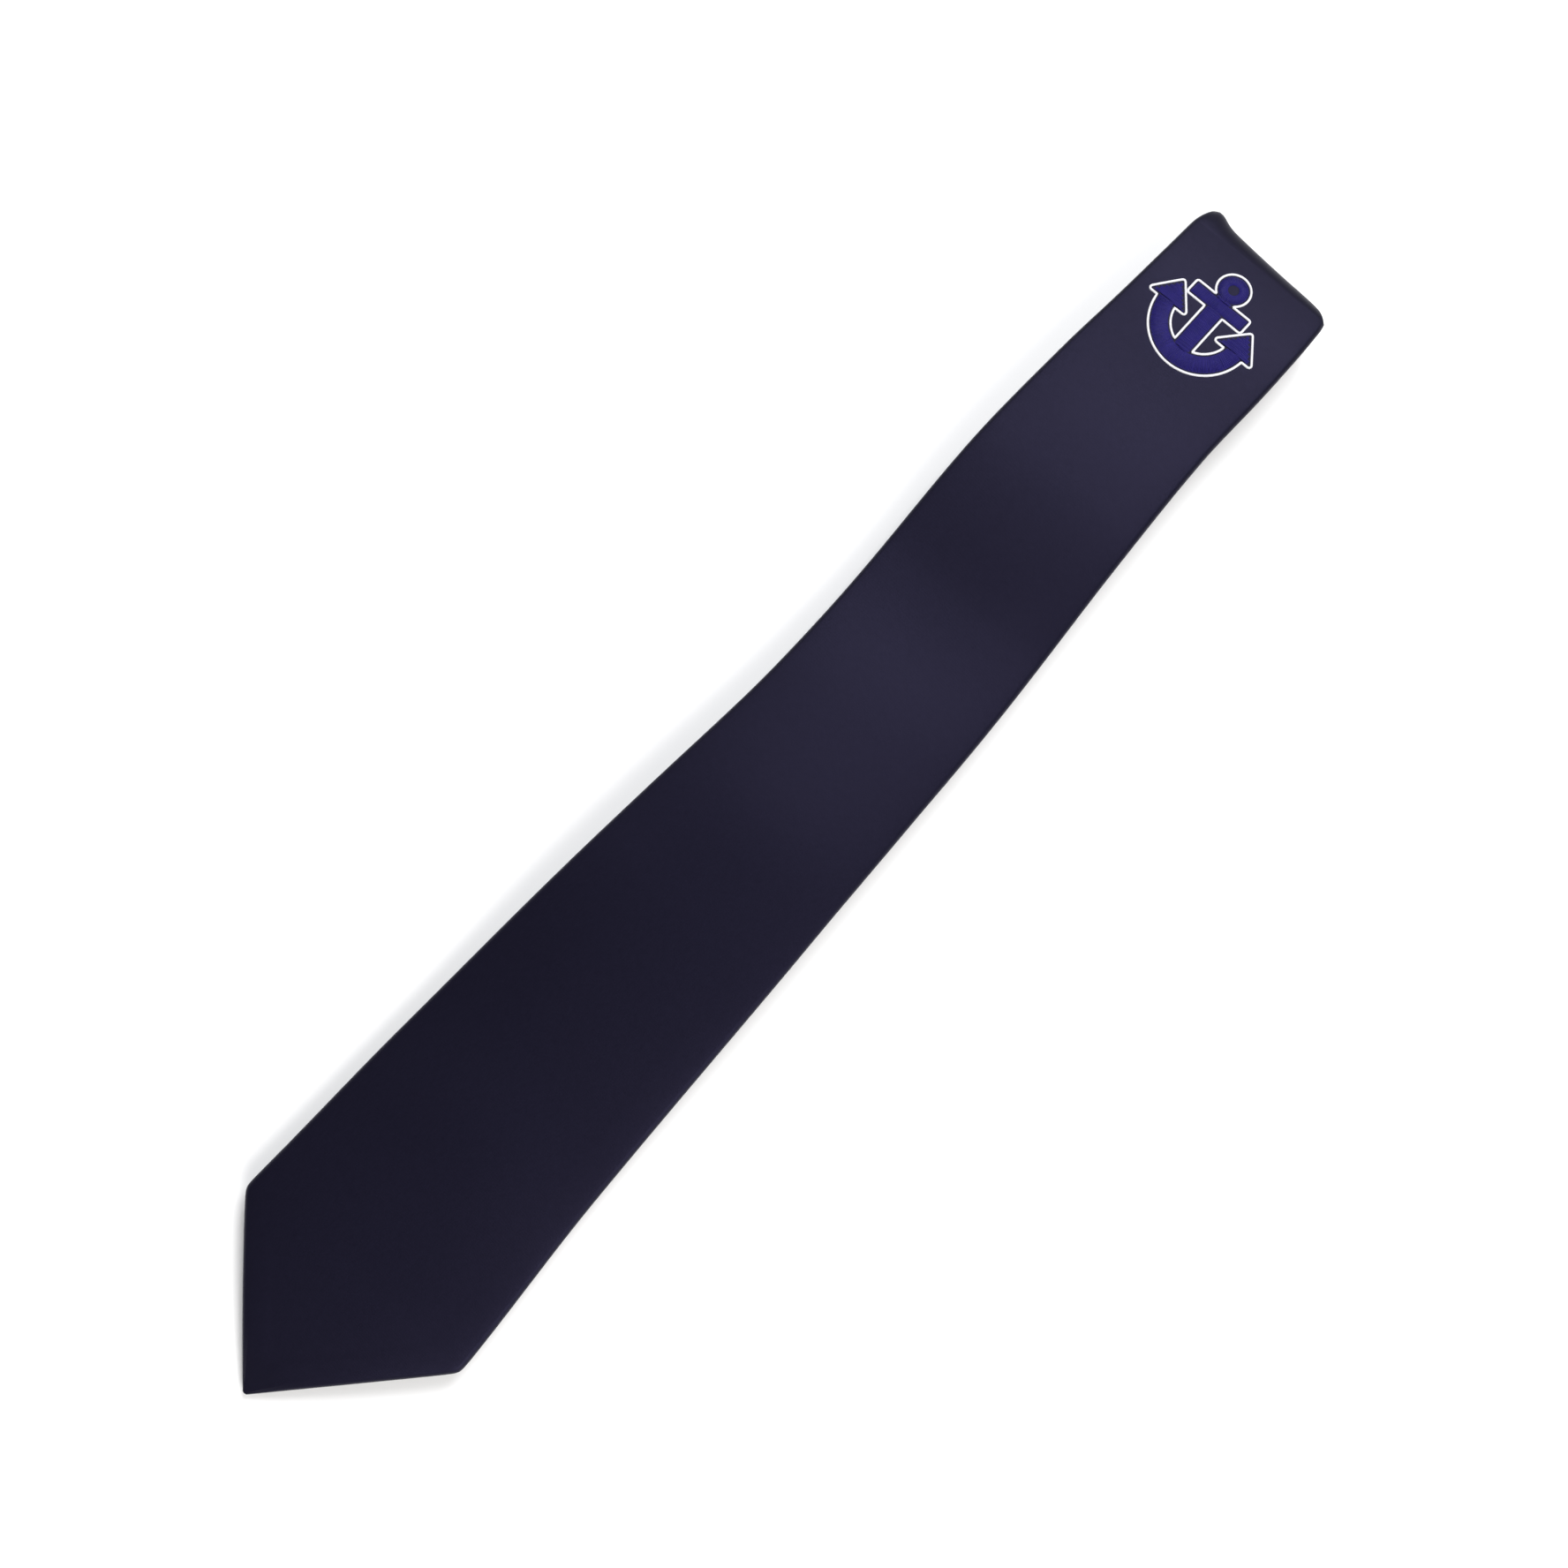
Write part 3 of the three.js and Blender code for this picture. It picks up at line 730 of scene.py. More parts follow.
@dataclass(frozen=True)
class WovenFinish:
    """Woven cloth: fine ridges of yarn with slubs and soft shading between dye lots."""

    name: str
    dark: Colour
    light: Colour
    weave: Weave = Weave.SATIN
    yarn: float = 0.16
    roughness: float = 0.42
    gloss: float = 0.2
    gloss_tint: Colour = (0.6, 0.57, 1.0)
    sheen: float = 0.02
    sheen_tint: Colour = (0.5, 0.5, 0.8)
    depth: float = 0.03
    border: tuple[float, float, float] | None = None
    border_colour: Colour = (0.5, 0.5, 0.5)

    def material(self) -> bpy.types.Material:
        """Builds the finish."""
        material, graph, shader = new_shader(self.name)
        flat = graph.add("ShaderNodeUVMap", uv_map="cloth").outputs["UV"]
        split = graph.add("ShaderNodeSeparateXYZ", Vector=flat)
        across, along = split.outputs["X"], split.outputs["Y"]
        turns = 2 * math.pi / (self.yarn * MM)
        diagonal = graph.plus(across, graph.times(along, self.weave.value))
        ridge = graph.maths("SINE", graph.times(diagonal, turns / 2.2))
        yarns = graph.maths("SINE", graph.times(across, turns))
        stretched = graph.add("ShaderNodeMapping", Scale=(2600.0, 320.0, 1.0), Vector=flat)
        slub = graph.noise(1.0, 3.0, 0.6, stretched.outputs[0])
        cast = graph.noise(16.0, 2.0, 0.5)
        weave = graph.plus(graph.times(ridge, 0.5), graph.times(yarns, 0.3))
        height = graph.plus(weave, graph.times(slub, 0.9))
        share = graph.plus(graph.times(slub, 0.45), graph.times(cast, 0.55))
        colour = graph.blend(graph.plus(share, graph.times(ridge, 0.10)), self.dark, self.light)
        if self.border is not None:
            colour = self._framed(graph, colour, across, along)
        graph.set(
            shader, Base_Color=colour, Sheen_Weight=self.sheen, Sheen_Roughness=0.45,
            Roughness=graph.maths("MULTIPLY_ADD", slub, 0.14, self.roughness - 0.07),
            Specular_IOR_Level=self.gloss, Specular_Tint=(*self.gloss_tint, 1.0),
            Sheen_Tint=(*self.sheen_tint, 1.0), Normal=bump(graph, height, 0.55, self.depth),
        )
        return material

    def _framed(self, graph: Graph, colour: Socket, across: Socket, along: Socket) -> Socket:
        """A woven line a little inside the edges of a label of half sizes border[0] and [1]."""
        half_across, half_along, inset = (value * MM for value in self.border)
        from_side = graph.maths("SUBTRACT", half_across - inset, graph.maths("ABSOLUTE", across))
        from_end = graph.maths("SUBTRACT", half_along - inset, graph.maths("ABSOLUTE", along))
        nearest = graph.maths("ABSOLUTE", graph.maths("MINIMUM", from_side, from_end))
        mix = graph.add("ShaderNodeMix", data_type="RGBA",
                        Factor=graph.maths("LESS_THAN", nearest, 0.35 * MM))
        graph.feed(mix.inputs[6], colour)
        graph.feed(mix.inputs[7], (*self.border_colour, 1.0))
        return mix.outputs[2]


def wool_canvas() -> bpy.types.Material:
    """Brushed wool canvas: loose fibres over an open weave."""
    material, graph, shader = new_shader("wool_canvas")
    fibre, clump = graph.noise(900.0, 5.0, 0.7), graph.noise(120.0, 3.0, 0.6)
    share = graph.plus(graph.times(fibre, 0.6), graph.times(clump, 0.4))
    graph.set(
        shader, Base_Color=graph.blend(share, (0.52, 0.47, 0.38), (0.78, 0.74, 0.66)),
        Roughness=graph.maths("MULTIPLY_ADD", fibre, 0.1, 0.85), Sheen_Weight=0.5,
        Normal=bump(graph, share, 0.8, 0.25),
    )
    return material


@dataclass(frozen=True)
class ThreadFinish:
    """Twisted embroidery or sewing thread."""

    name: str
    dark: Colour
    light: Colour
    roughness: float = 0.38
    gloss: float = 0.5
    sheen: float = 0.2
    twist: float = 0.45

    def material(self) -> bpy.types.Material:
        """Builds the finish."""
        material, graph, shader = new_shader(self.name)
        along, around = (graph.add("ShaderNodeAttribute", attribute_name=name).outputs["Fac"]
                         for name in ("along", "around"))
        turns = graph.times(along, 2 * math.pi / (self.twist * MM))
        ply = graph.maths("SINE", graph.plus(turns, graph.times(around, 4 * math.pi)))
        lot = graph.noise(420.0, 2.0, 0.5)
        share = graph.maths("MULTIPLY_ADD", ply, 0.16, lot)
        graph.set(
            shader, Base_Color=graph.blend(share, self.dark, self.light),
            Roughness=graph.maths("MULTIPLY_ADD", lot, 0.12, self.roughness - 0.06),
            Specular_IOR_Level=self.gloss, Sheen_Weight=self.sheen,
            Normal=bump(graph, ply, 0.35, 0.02),
        )
        return material


def pale_table() -> bpy.types.Material:
    """A plain pale table top."""
    material, graph, shader = new_shader("pale_table")
    mottle = graph.noise(3.0, 2.0, 0.5)
    graph.set(shader, Base_Color=graph.blend(mottle, (0.95, 0.95, 0.95), (0.97, 0.97, 0.97)),
              Roughness=0.75, Specular_IOR_Level=0.2)
    return material


class Finishes:
    """Every material of the tie, built once."""

    def __init__(self) -> None:
        """Builds the materials."""
        self.silk = WovenFinish(
            "navy_silk", (0.0023, 0.0021, 0.0052), (0.0043, 0.0040, 0.0094), roughness=0.41,
            gloss_tint=(0.55, 0.51, 1.0),
        ).material()
        self.lining = WovenFinish(
            "tipping_twill", (0.0050, 0.0046, 0.0085), (0.0120, 0.0115, 0.0190), Weave.TWILL,
            yarn=0.22,
        ).material()
        self.ribbon = WovenFinish(
            "label_damask", (0.013, 0.012, 0.030), (0.024, 0.022, 0.052), Weave.TWILL,
            yarn=0.2, border=(25.0, 13.0, 2.2), border_colour=(0.36, 0.36, 0.42),
        ).material()
        self.care = WovenFinish(
            "care_satin", (0.46, 0.46, 0.48), (0.60, 0.60, 0.62), yarn=0.18, roughness=0.45,
            gloss_tint=(1.0, 1.0, 1.0), border=(13.5, 7.5, 1.6),
            border_colour=(0.30, 0.30, 0.33),
        ).material()
        self.wool = wool_canvas()
        self.sewing = ThreadFinish(
            "sewing_thread", (0.010, 0.009, 0.022), (0.028, 0.026, 0.055),
        ).material()
        self.blue = ThreadFinish(
            "blue_floss", (0.006, 0.004, 0.080), (0.020, 0.014, 0.150), roughness=0.4,
            gloss=0.12, sheen=0.05,
        ).material()
        self.pale = ThreadFinish(
            "pale_floss", (0.72, 0.72, 0.76), (0.93, 0.93, 0.95), roughness=0.45,
        ).material()


# ------------------------------------------------------------------ joining to the frame


class Body(Enum):
    """The four stretches of the tie that turn against each other."""

    BLADE = "blade"
    UPPER = "upper_neck"
    LOWER = "lower_neck"
    TAIL = "tail"


@dataclass(frozen=True)
class Stretch:
    """One stretch of the tie between two lengths, and what it stands for.

    A stretch round a fold names the fold's joint.
    """

    name: str
    node: str
    body: Body
    first: float
    last: float
    joint: str = ""


@dataclass
class Kit:
    """What every sub-assembly is built with."""

    shape: TieShape
    sewing: Sewing
    finishes: Finishes
    fold_layers: tuple[tuple[str, float], ...] = (("fold_1", 8.7), ("fold_2", 1.5), ("fold_3", 5.1))
    built: list[str] = field(default_factory=list)

    def fit(
        self, obj: bpy.types.Object, body: Body, slot: str, *nodes: str,
        finish: bpy.types.Material | None = None,
    ) -> None:
        """Dresses a piece and joins it to its body.

        Args:
            obj: The finished piece.
            body: Body that it rides on.
            slot: Material slot of the record; not used.
            *nodes: CAD nodes that it stands for.
            finish: Material, where it has none yet.
        """
        if finish is not None:
            obj.data.materials.clear()
            obj.data.materials.append(finish)
        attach(obj, body.value)
        if nodes:
            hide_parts(*nodes)
        self.built.append(obj.name)
        LOG.info("%s: %d faces on %s", obj.name, len(obj.data.polygons), body.value)

    def fit_stretch(
        self, obj: bpy.types.Object, item: Stretch, slot: str, finish: bpy.types.Material
    ) -> None:
        """Fits a stretch, and gives a stretch round a fold a mesh of its own."""
        self.fit(obj, item.body, slot, item.node, finish=finish)
        if item.joint:
            turn, level = getattr(self.shape, item.joint), dict(self.fold_layers)[item.joint]
            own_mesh(obj)

    def cut(
        self, obj: bpy.types.Object, sheet: Sheet, held: str,
        strips: Sequence[bpy.types.Object] = (),
    ) -> None:
        """Takes a piece and its sheet and does nothing with them.

        Args:
            obj: The piece; not used.
            sheet: Its grids; not used.
            held: How the sheet is held in its place; not used.
            strips: Narrow pieces that were cut in one with it; not used.
        """


# ------------------------------------------------------------------ the silk shell


@dataclass
class SilkShell:
    """The folded tube of silk, cut into the stretches that the joints need."""

    kit: Kit
    silk: float = 0.35
    flap_columns: int = 9
    roll_columns: int = 11
    front_columns: int = 31
    seam_slant: float = 0.8
    slant_reach: float = 90.0
    under_lap: float = 6.0
    tip: float = 0.9

    def stretches(self) -> list[Stretch]:
        """The stretches from point to point."""
        s = self.kit.shape
        one, two, three = s.fold_1, s.fold_2, s.fold_3
        upper, lower = Body.UPPER, Body.LOWER
        seams = (s.blade_seam, s.tail_seam)
        return [
            Stretch("blade_silk", "blade_shell", Body.BLADE, self.tip, one.start),
            Stretch("fold_1_silk", "fold_1_shell", upper, one.start, one.end, "fold_1"),
            Stretch("upper_neck_blade_silk", "upper_neck_blade_panel", upper, one.end, seams[0]),
            Stretch("upper_neck_silk", "upper_neck_neck_panel", upper, seams[0], two.start),
            Stretch("fold_2_silk", "fold_2_shell", lower, two.start, two.end, "fold_2"),
            Stretch("lower_neck_silk", "lower_neck_neck_panel", lower, two.end, seams[1]),
            Stretch("lower_neck_tail_silk", "lower_neck_tail_panel", lower, seams[1], three.start),
            Stretch("fold_3_silk", "fold_3_shell", lower, three.start, three.end, "fold_3"),
            Stretch("tail_silk", "tail_shell", Body.TAIL, three.end, s.full - self.tip),
        ]

    def lengths(self) -> Array:
        """Lengths of the rows: close at the points, corners and folds."""
        s = self.kit.shape
        fine = {self.tip: 1.1, 38.0: 0.7, 50.0: 2.2, s.full - 34: 1.2}
        for turn in (s.fold_1, s.fold_2, s.fold_3):
            fine[turn.start] = turn.radius * math.pi / 24
        for place in (s.fold_1.end, s.fold_2.end, s.fold_3.end, s.blade_seam, s.tail_seam):
            fine[place] = 2.6
        stops = sorted(fine) + [s.full - self.tip]
        rows: list[float] = []
        for first, last in zip(stops[:-1], stops[1:]):
            count = max(2, round((last - first) / fine[first]))
            rows += [first, first + 0.12, *np.linspace(first, last, count + 1)[1:-1], last - 0.12]
        return np.array([*rows, stops[-1]])

    def section(self, length: Array) -> tuple[Array, Array]:
        """Across and offset of every column of the outer face at each length.

        Args:
            length: Lengths, one for each point of the grid.

        Returns:
            Places across and offsets, in the shape of length.
        """
        s = self.kit.shape
        left, right = s.edges(length)
        roll = s.roll(length)
        rolls = [
            np.minimum(roll * np.sqrt(1 + ((ahead - back) / 0.5) ** 2), 0.45 * (right - left))
            for ahead, back in zip(s.edges(length + 0.25), s.edges(length - 0.25))
        ]
        near, far = left + rolls[0], right - rolls[1]
        centre = (left + right) / 2
        gap = s.opening(length)
        lapped = 1 - smooth(gap / 1.2)
        under_end = centre - gap + self.under_lap * lapped * smooth((right - left) / 30 - 0.3)
        over_end = centre + gap - 1.0 * lapped
        flap = np.linspace(0, 1, self.flap_columns, endpoint=False)
        angle = np.linspace(-math.pi / 2, math.pi / 2, self.roll_columns)
        front = np.linspace(0, 1, self.front_columns + 2)[1:-1]
        zones = (flap, angle, front, angle[::-1], flap[::-1])
        t = np.concatenate(zones)[None, :]
        zone = np.repeat(np.arange(len(zones)), [len(part) for part in zones])[None, :]
        within = [np.broadcast_to(zone == k, length.shape) for k in range(4)]
        x = np.select(within, [
            under_end + (near - under_end) * t,
            near - rolls[0] * np.cos(t),
            near + (far - near) * t,
            far + rolls[1] * np.cos(t),
        ], over_end + (far - over_end) * t)
        dip = 0.42 * lapped * smooth((x - centre + 6) / 4.5)
        bent = roll * np.sin(t)
        offset = np.select(within, [dip - roll, bent, s.front(length, x), bent], -roll)
        return x, offset

    def sheet(self) -> tuple[Sheet, Array]:
        """The whole shell as one sheet, with the length of each row."""
        s = self.kit.shape
        rows = self.lengths()
        columns = 2 * (self.flap_columns + self.roll_columns) + self.front_columns
        level = np.repeat(rows[:, None], columns, axis=1)
        x, _ = self.section(level)
        slant, groove = np.zeros_like(rows), np.zeros_like(rows)
        for seam, way in ((s.blade_seam, -1), (s.tail_seam, 1)):
            from_seam = np.abs(rows - seam)
            slant += way * self.seam_slant * (1 - smooth(from_seam / self.slant_reach))
            groove += 0.16 * np.exp(-((from_seam / 0.6) ** 2))
        slanted = level + slant[:, None] * x
        x, offset = self.section(slanted)
        outer = s.place(slanted, x, offset)
        normals = grid_normals(outer)
        outer = outer - normals * groove[:, None, None] * MM
        left, right = s.edges(rows)
        thin = np.minimum(self.silk, 0.06 + 0.05 * (right - left))
        inner = outer - normals * thin[:, None, None] * MM
        steps = np.linalg.norm(np.diff(outer, axis=1), axis=-1)
        developed = np.concatenate([np.zeros((len(rows), 1)), np.cumsum(steps, axis=1)], axis=1)
        developed -= developed[:, columns // 2 : columns // 2 + 1]
        uv = np.stack([developed, slanted * MM], axis=-1)
        return Sheet(outer, inner, uv, pinch_first=True, pinch_last=True), rows

    def build(self) -> None:
        """Makes each stretch and joins it to its body."""
        whole, rows = self.sheet()
        parts: dict[str, tuple[bpy.types.Object, Sheet]] = {}
        for item in self.stretches():
            first, last = (int(np.argmin(np.abs(rows - end))) for end in (item.first, item.last))
            part = whole.rows(first, last)
            obj = part.build(item.name)
            self.kit.fit_stretch(obj, item, "silk_shell", self.kit.finishes.silk)
            parts[item.name] = (obj, part)
        strips = {"fold_2_silk": "lower_neck_silk", "fold_3_silk": "lower_neck_tail_silk"}
        for name, (obj, part) in parts.items():
            if name not in strips:
                on_it = [parts[strip][0] for strip, owner in strips.items() if owner == name]
                self.kit.cut(obj, part, "folded", on_it)


# ------------------------------------------------------------------ inner layers


@dataclass
class InnerLayers:
    """The wool interlining through the whole tie, and the tippings behind its points."""

    kit: Kit
    inset: float = 2.0
    wool_low: float = -0.1
    wool_high: float = 0.8
    ends: float = 6.0
    gap: float = 0.1
    lining_offset: float = -0.62
    lining_thickness: float = 0.2
    tuck: float = 4.0
    blade_reach: float = 112.0
    tail_reach: float = 66.0

    def wool_rings(self, lengths: Array) -> tuple[Array, Array]:
        """Rings of a soft-edged strip of wool, and the flat place of each point."""
        s = self.kit.shape
        left, right = s.edges(lengths)
        scale = s.roll(lengths) / s.half
        mid = ((self.wool_low + self.wool_high) / 2 * scale)[:, None]
        thick = ((self.wool_high - self.wool_low) / 2 * scale)[:, None]
        angle = np.linspace(math.pi / 2, 3 * math.pi / 2, 5)
        near = left[:, None] + self.inset + thick
        far = right[:, None] - self.inset - thick
        share = np.linspace(0, 1, 9)[1:-1]
        x = np.concatenate([
            near + thick * np.cos(angle), near + (far - near) * share,
            far - thick * np.cos(angle), near + (far - near) * share[::-1],
        ], axis=1)
        level = np.ones(len(share))
        w = np.concatenate([np.sin(angle), -level, np.sin(angle[::-1]), level])
        points = s.place(lengths[:, None], x, mid + thick * w)
        return points, flat_places(x, lengths[:, None])

    def wool(self) -> None:
        """The wool, in the same stretches as the silk's bodies and folds."""
        s, gap = self.kit.shape, self.gap
        starts = [self.ends, *(turn.end + gap for turn in (s.fold_1, s.fold_2, s.fold_3))]
        stops = [*(turn.start - gap for turn in (s.fold_1, s.fold_2, s.fold_3)), s.full - self.ends]
        for k, (body, first, last) in enumerate(zip(Body, starts, stops), 1):
            name = body.value
            items = [Stretch(f"{name}_wool", f"{name}_interlining", body, first, last)]
            if body is not Body.TAIL:
                fold, owner = f"fold_{k}", Body.UPPER if k == 1 else Body.LOWER
                turn = getattr(s, fold)
                items.append(Stretch(f"{fold}_wool", f"{fold}_interlining", owner,
                                     turn.start, turn.end, fold))
            for item in items:
                count = 17 if item.joint else max(3, round((item.last - item.first) / 4.0) + 1)
                obj = self.band(item.name, np.linspace(item.first, item.last, count))
                self.kit.fit_stretch(obj, item, "wool_interlining", self.kit.finishes.wool)

    def band(self, name: str, lengths: Array) -> bpy.types.Object:
        """A closed strip of wool with a flat face at each end."""
        rings, uv = self.wool_rings(lengths)
        ids = np.arange(rings[..., 0].size).reshape(rings.shape[:2])
        rows = closed(ids)
        faces = np.concatenate([strip(a, b) for a, b in zip(rows[:-1], rows[1:])]).tolist()
        faces += [ids[0][::-1].tolist(), ids[-1].tolist()]
        return solid(name, rings.reshape(-1, 3), faces, uv.reshape(-1, 2))

    def tipping(self, name: str, node: str, body: Body, lengths: Array) -> None:
        """A lining behind one point, its edges tucked under the hem.

        Args:
            name: Name of the piece.
            node: CAD node that it stands for.
            body: Body that it rides on.
            lengths: Lengths of its rows.
        """
        s = self.kit.shape
        left, right = s.edges(lengths)
        half = np.minimum((right - left) / 2 - 2.3, s.opening(lengths) + self.tuck)
        share = np.linspace(-1, 1, 25)
        x = ((left + right) / 2)[:, None] + np.maximum(half, 0.6)[:, None] * share
        rows = lengths[:, None]
        scale = s.roll(rows) / s.half
        ripple = 0.05 * np.sin(rows / 9) * np.cos(3 * share)
        outer, inner = (s.place(rows, x, scale * (self.lining_offset - depth + ripple))
                        for depth in (0.0, self.lining_thickness))
        sheet = Sheet(outer, inner, flat_places(x, rows))
        obj = sheet.build(name)
        self.kit.fit(obj, body, "tipping", node, finish=self.kit.finishes.lining)
        self.kit.cut(obj, sheet, "laid")

    def build(self) -> None:
        """Makes the wool and both tippings."""
        self.wool()
        s = self.kit.shape
        blade = np.arange(self.ends, self.blade_reach + 0.1, 2.0)
        self.tipping("blade_lining", "blade_tipping", Body.BLADE, blade)
        tail = np.arange(s.full - self.tail_reach, s.full - self.ends + 0.1, 2.0)
        self.tipping("tail_lining", "tail_tipping", Body.TAIL, tail)


# ------------------------------------------------------------------ sewing


@dataclass
class BackSeam:
    """The slip stitches that close the back, and the bar tacks at its two ends."""

    kit: Kit
    pitch: float = 8.0
    stitch: float = 3.0
    thread: float = 0.17
    tack_half: float = 2.6
    tack_length: float = 4.2
    fold_gap: float = 6.0
    blade_row_from: float = 101.0
    tail_row_to: float = 58.0
    blade_tack_from: float = 84.0
    tail_tack_from: float = 46.0

    def middle(self, lengths: Array, side: float, proud: float) -> Array:
        """Points beside the middle of the back, a little proud of the silk."""
        s = self.kit.shape
        left, right = s.edges(lengths)
        return s.place(lengths, (left + right) / 2 + side, -s.roll(lengths) - proud)

    def row(self, body: Body, first: float, last: float, away: float) -> None:
        """Slip stitches over the lapped edge along one stretch."""
        lengths = np.linspace(first, last, max(2, round((last - first) / 3)))
        obj = self.kit.sewing.row_of(
            f"{body.value}_stitches", [self.middle(lengths, -1.0, 0.06)],
            self.kit.finishes.sewing, pitch=self.pitch, length=self.stitch, rise=0.12,
            radius=self.thread, turn=14.0, away=away,
        )
        self.kit.fit(obj, body, "sewing_thread", f"{body.value}_slip_stitch")

    def bar_tack(self, body: Body, first: float) -> None:
        """A close bar of thread across the two flaps."""
        s = self.kit.shape
        paths: list[Array] = []
        rounded = np.linspace(0, math.pi, 9)
        for k, length in enumerate(np.arange(first, first + self.tack_length, 0.33)):
            left, right = s.edges(np.array([length]))
            centre = float((left + right)[0]) / 2 + 0.12 * (-1) ** k
            x = centre - self.tack_half * np.cos(rounded)
            lift = -s.roll(np.array([length]))[0] + 0.15 - 0.42 * np.sin(rounded) ** 0.6
            paths.append(s.place(length + 0.2 * np.cos(rounded), x, lift))
        lengths = np.linspace(first - 0.3, first + self.tack_length + 0.1, 5)
        paths += [self.middle(lengths, side, 0.05) for side in (-1.2, 0.0, 1.2)]
        obj = self.kit.sewing.lay(
            f"{body.value}_tack", paths, self.thread, self.kit.finishes.sewing)
        self.kit.fit(obj, body, "sewing_thread", f"{body.value}_bar_tack")

    def build(self) -> None:
        """Makes every row of stitches and both bar tacks."""
        s, gap = self.kit.shape, self.fold_gap
        self.row(Body.BLADE, self.blade_row_from, s.fold_1.start - gap, -1.0)
        self.row(Body.UPPER, s.fold_1.end + gap, s.fold_2.start - gap, 1.0)
        self.row(Body.LOWER, s.fold_2.end + gap, s.fold_3.start - gap, -1.0)
        self.row(Body.TAIL, s.fold_3.end + gap, s.full - self.tail_row_to, 1.0)
        self.bar_tack(Body.BLADE, self.blade_tack_from)
        self.bar_tack(Body.TAIL, s.full - self.tail_tack_from)


# ------------------------------------------------------------------ keeper and labels


@dataclass(frozen=True)
class Label:
    """A blank label. Its kind is its CAD node."""

    kind: str
    first: float
    height: float
    half: float
    stitch_inset: float


@dataclass
class BackDetails:
    """The keeper loop and the two blank labels on the back of the blade."""

    kit: Kit
    keeper_from: float = 225.0
    keeper_width: float = 13.0
    keeper_half: float = 23.0
    keeper_height: float = 1.6
    keeper_wall: float = 0.4
    keeper_centre: float = 1.9
    label_centre: float = 1.2
    label_thickness: float = 0.36
    woven_label: Label = Label("woven_label", 262.0, 26.0, 25.0, 1.2)
    care_label: Label = Label("care_label", 296.0, 15.0, 13.5, 1.0)

    def keeper(self) -> None:
        """A flat tube of self fabric that the tail passes through."""
        s = self.kit.shape
        half_height = self.keeper_height / 2
        depth = -s.half - 0.25 - half_height
        reach = self.keeper_half - half_height
        quarter = np.linspace(-math.pi / 2, math.pi / 2, 9)
        share = np.linspace(-1, 1, 25)[1:-1]

        def around(wall: float) -> tuple[Array, Array]:
            """Across and offset of a flat loop, in by wall."""
            radius = half_height - wall
            turn, rise = radius * np.cos(quarter), radius * np.sin(quarter)
            level = radius + 0 * share
            x = np.concatenate([reach + turn, reach * share[::-1], -reach - turn, reach * share])
            return x, np.concatenate([rise, level, -rise, -level])

        rows = np.linspace(0, 1, 9)
        lengths = (self.keeper_from + self.keeper_width * rows)[:, None]
        flare = 1 - 0.04 * np.abs(2 * rows - 1)[:, None] ** 6
        grids: list[Array] = []
        for wall in (0.0, self.keeper_wall):
            x, w = around(wall)
            sag = 0.12 * (1 - (x / self.keeper_half) ** 2) * (w < 0)
            grid = s.place(lengths, self.keeper_centre + x, depth + w * flare - sag)
            grids.append(grid[:, ::-1])
        x, w = around(0.0)
        run = np.concatenate([[0], np.cumsum(np.hypot(np.diff(x), np.diff(w)))])
        sheet = Sheet(*grids, flat_places(run, lengths)[:, ::-1], closed_round=True)
        obj = sheet.build("keeper")
        self.kit.fit(obj, Body.BLADE, "silk_shell", "keeper_loop", finish=self.kit.finishes.silk)
        self.kit.cut(obj, sheet, "folded")

    def label(self, label: Label, finish: bpy.types.Material) -> None:
        """A blank woven label with turned ends."""
        s = self.kit.shape
        rows = np.linspace(0, 1, 14)[:, None]
        share = np.linspace(1, -1, 31)
        x = label.half * share
        lengths = label.first + label.height * rows
        turned = 0.10 * smooth((np.abs(x) - label.half + 3.5) / 0.8)
        lift = -s.half - 0.16 - turned - 0.03 * np.sin(7 * share) * rows
        centre = self.label_centre
        under = s.place(lengths, centre + x, -s.half - 0.06)
        over = s.place(lengths, centre + x, lift - self.label_thickness / 2)
        sheet = Sheet(over, under, flat_places(x, (rows - 0.5) * label.height))
        obj = sheet.build(f"{label.kind}_blank")
        self.kit.fit(obj, Body.BLADE, label.kind, label.kind, finish=finish)
        self.kit.cut(obj, sheet, "laid")

    def label_stitches(self) -> None:
        """Short stitches along the two ends of each label."""
        s = self.kit.shape
        paths: list[Array] = []
        for label in (self.woven_label, self.care_label):
            lengths = np.linspace(label.first + 0.8, label.first + label.height - 0.8, 8)
            across = label.half - label.stitch_inset
            paths += [s.place(lengths, self.label_centre + side * across, -s.half - 0.46)
                      for side in (-1, 1)]
        obj = self.kit.sewing.row_of(
            "label_stitches", paths, self.kit.finishes.sewing, pitch=2.4, length=1.5,
            rise=0.10, radius=0.12,
        )
        self.kit.fit(obj, Body.BLADE, "sewing_thread")

    def build(self) -> None:
        """Makes the keeper, both labels and their stitches."""
        self.keeper()
        self.label(self.woven_label, self.kit.finishes.ribbon)
        self.label(self.care_label, self.kit.finishes.care)
        self.label_stitches()


# ------------------------------------------------------------------ emblem


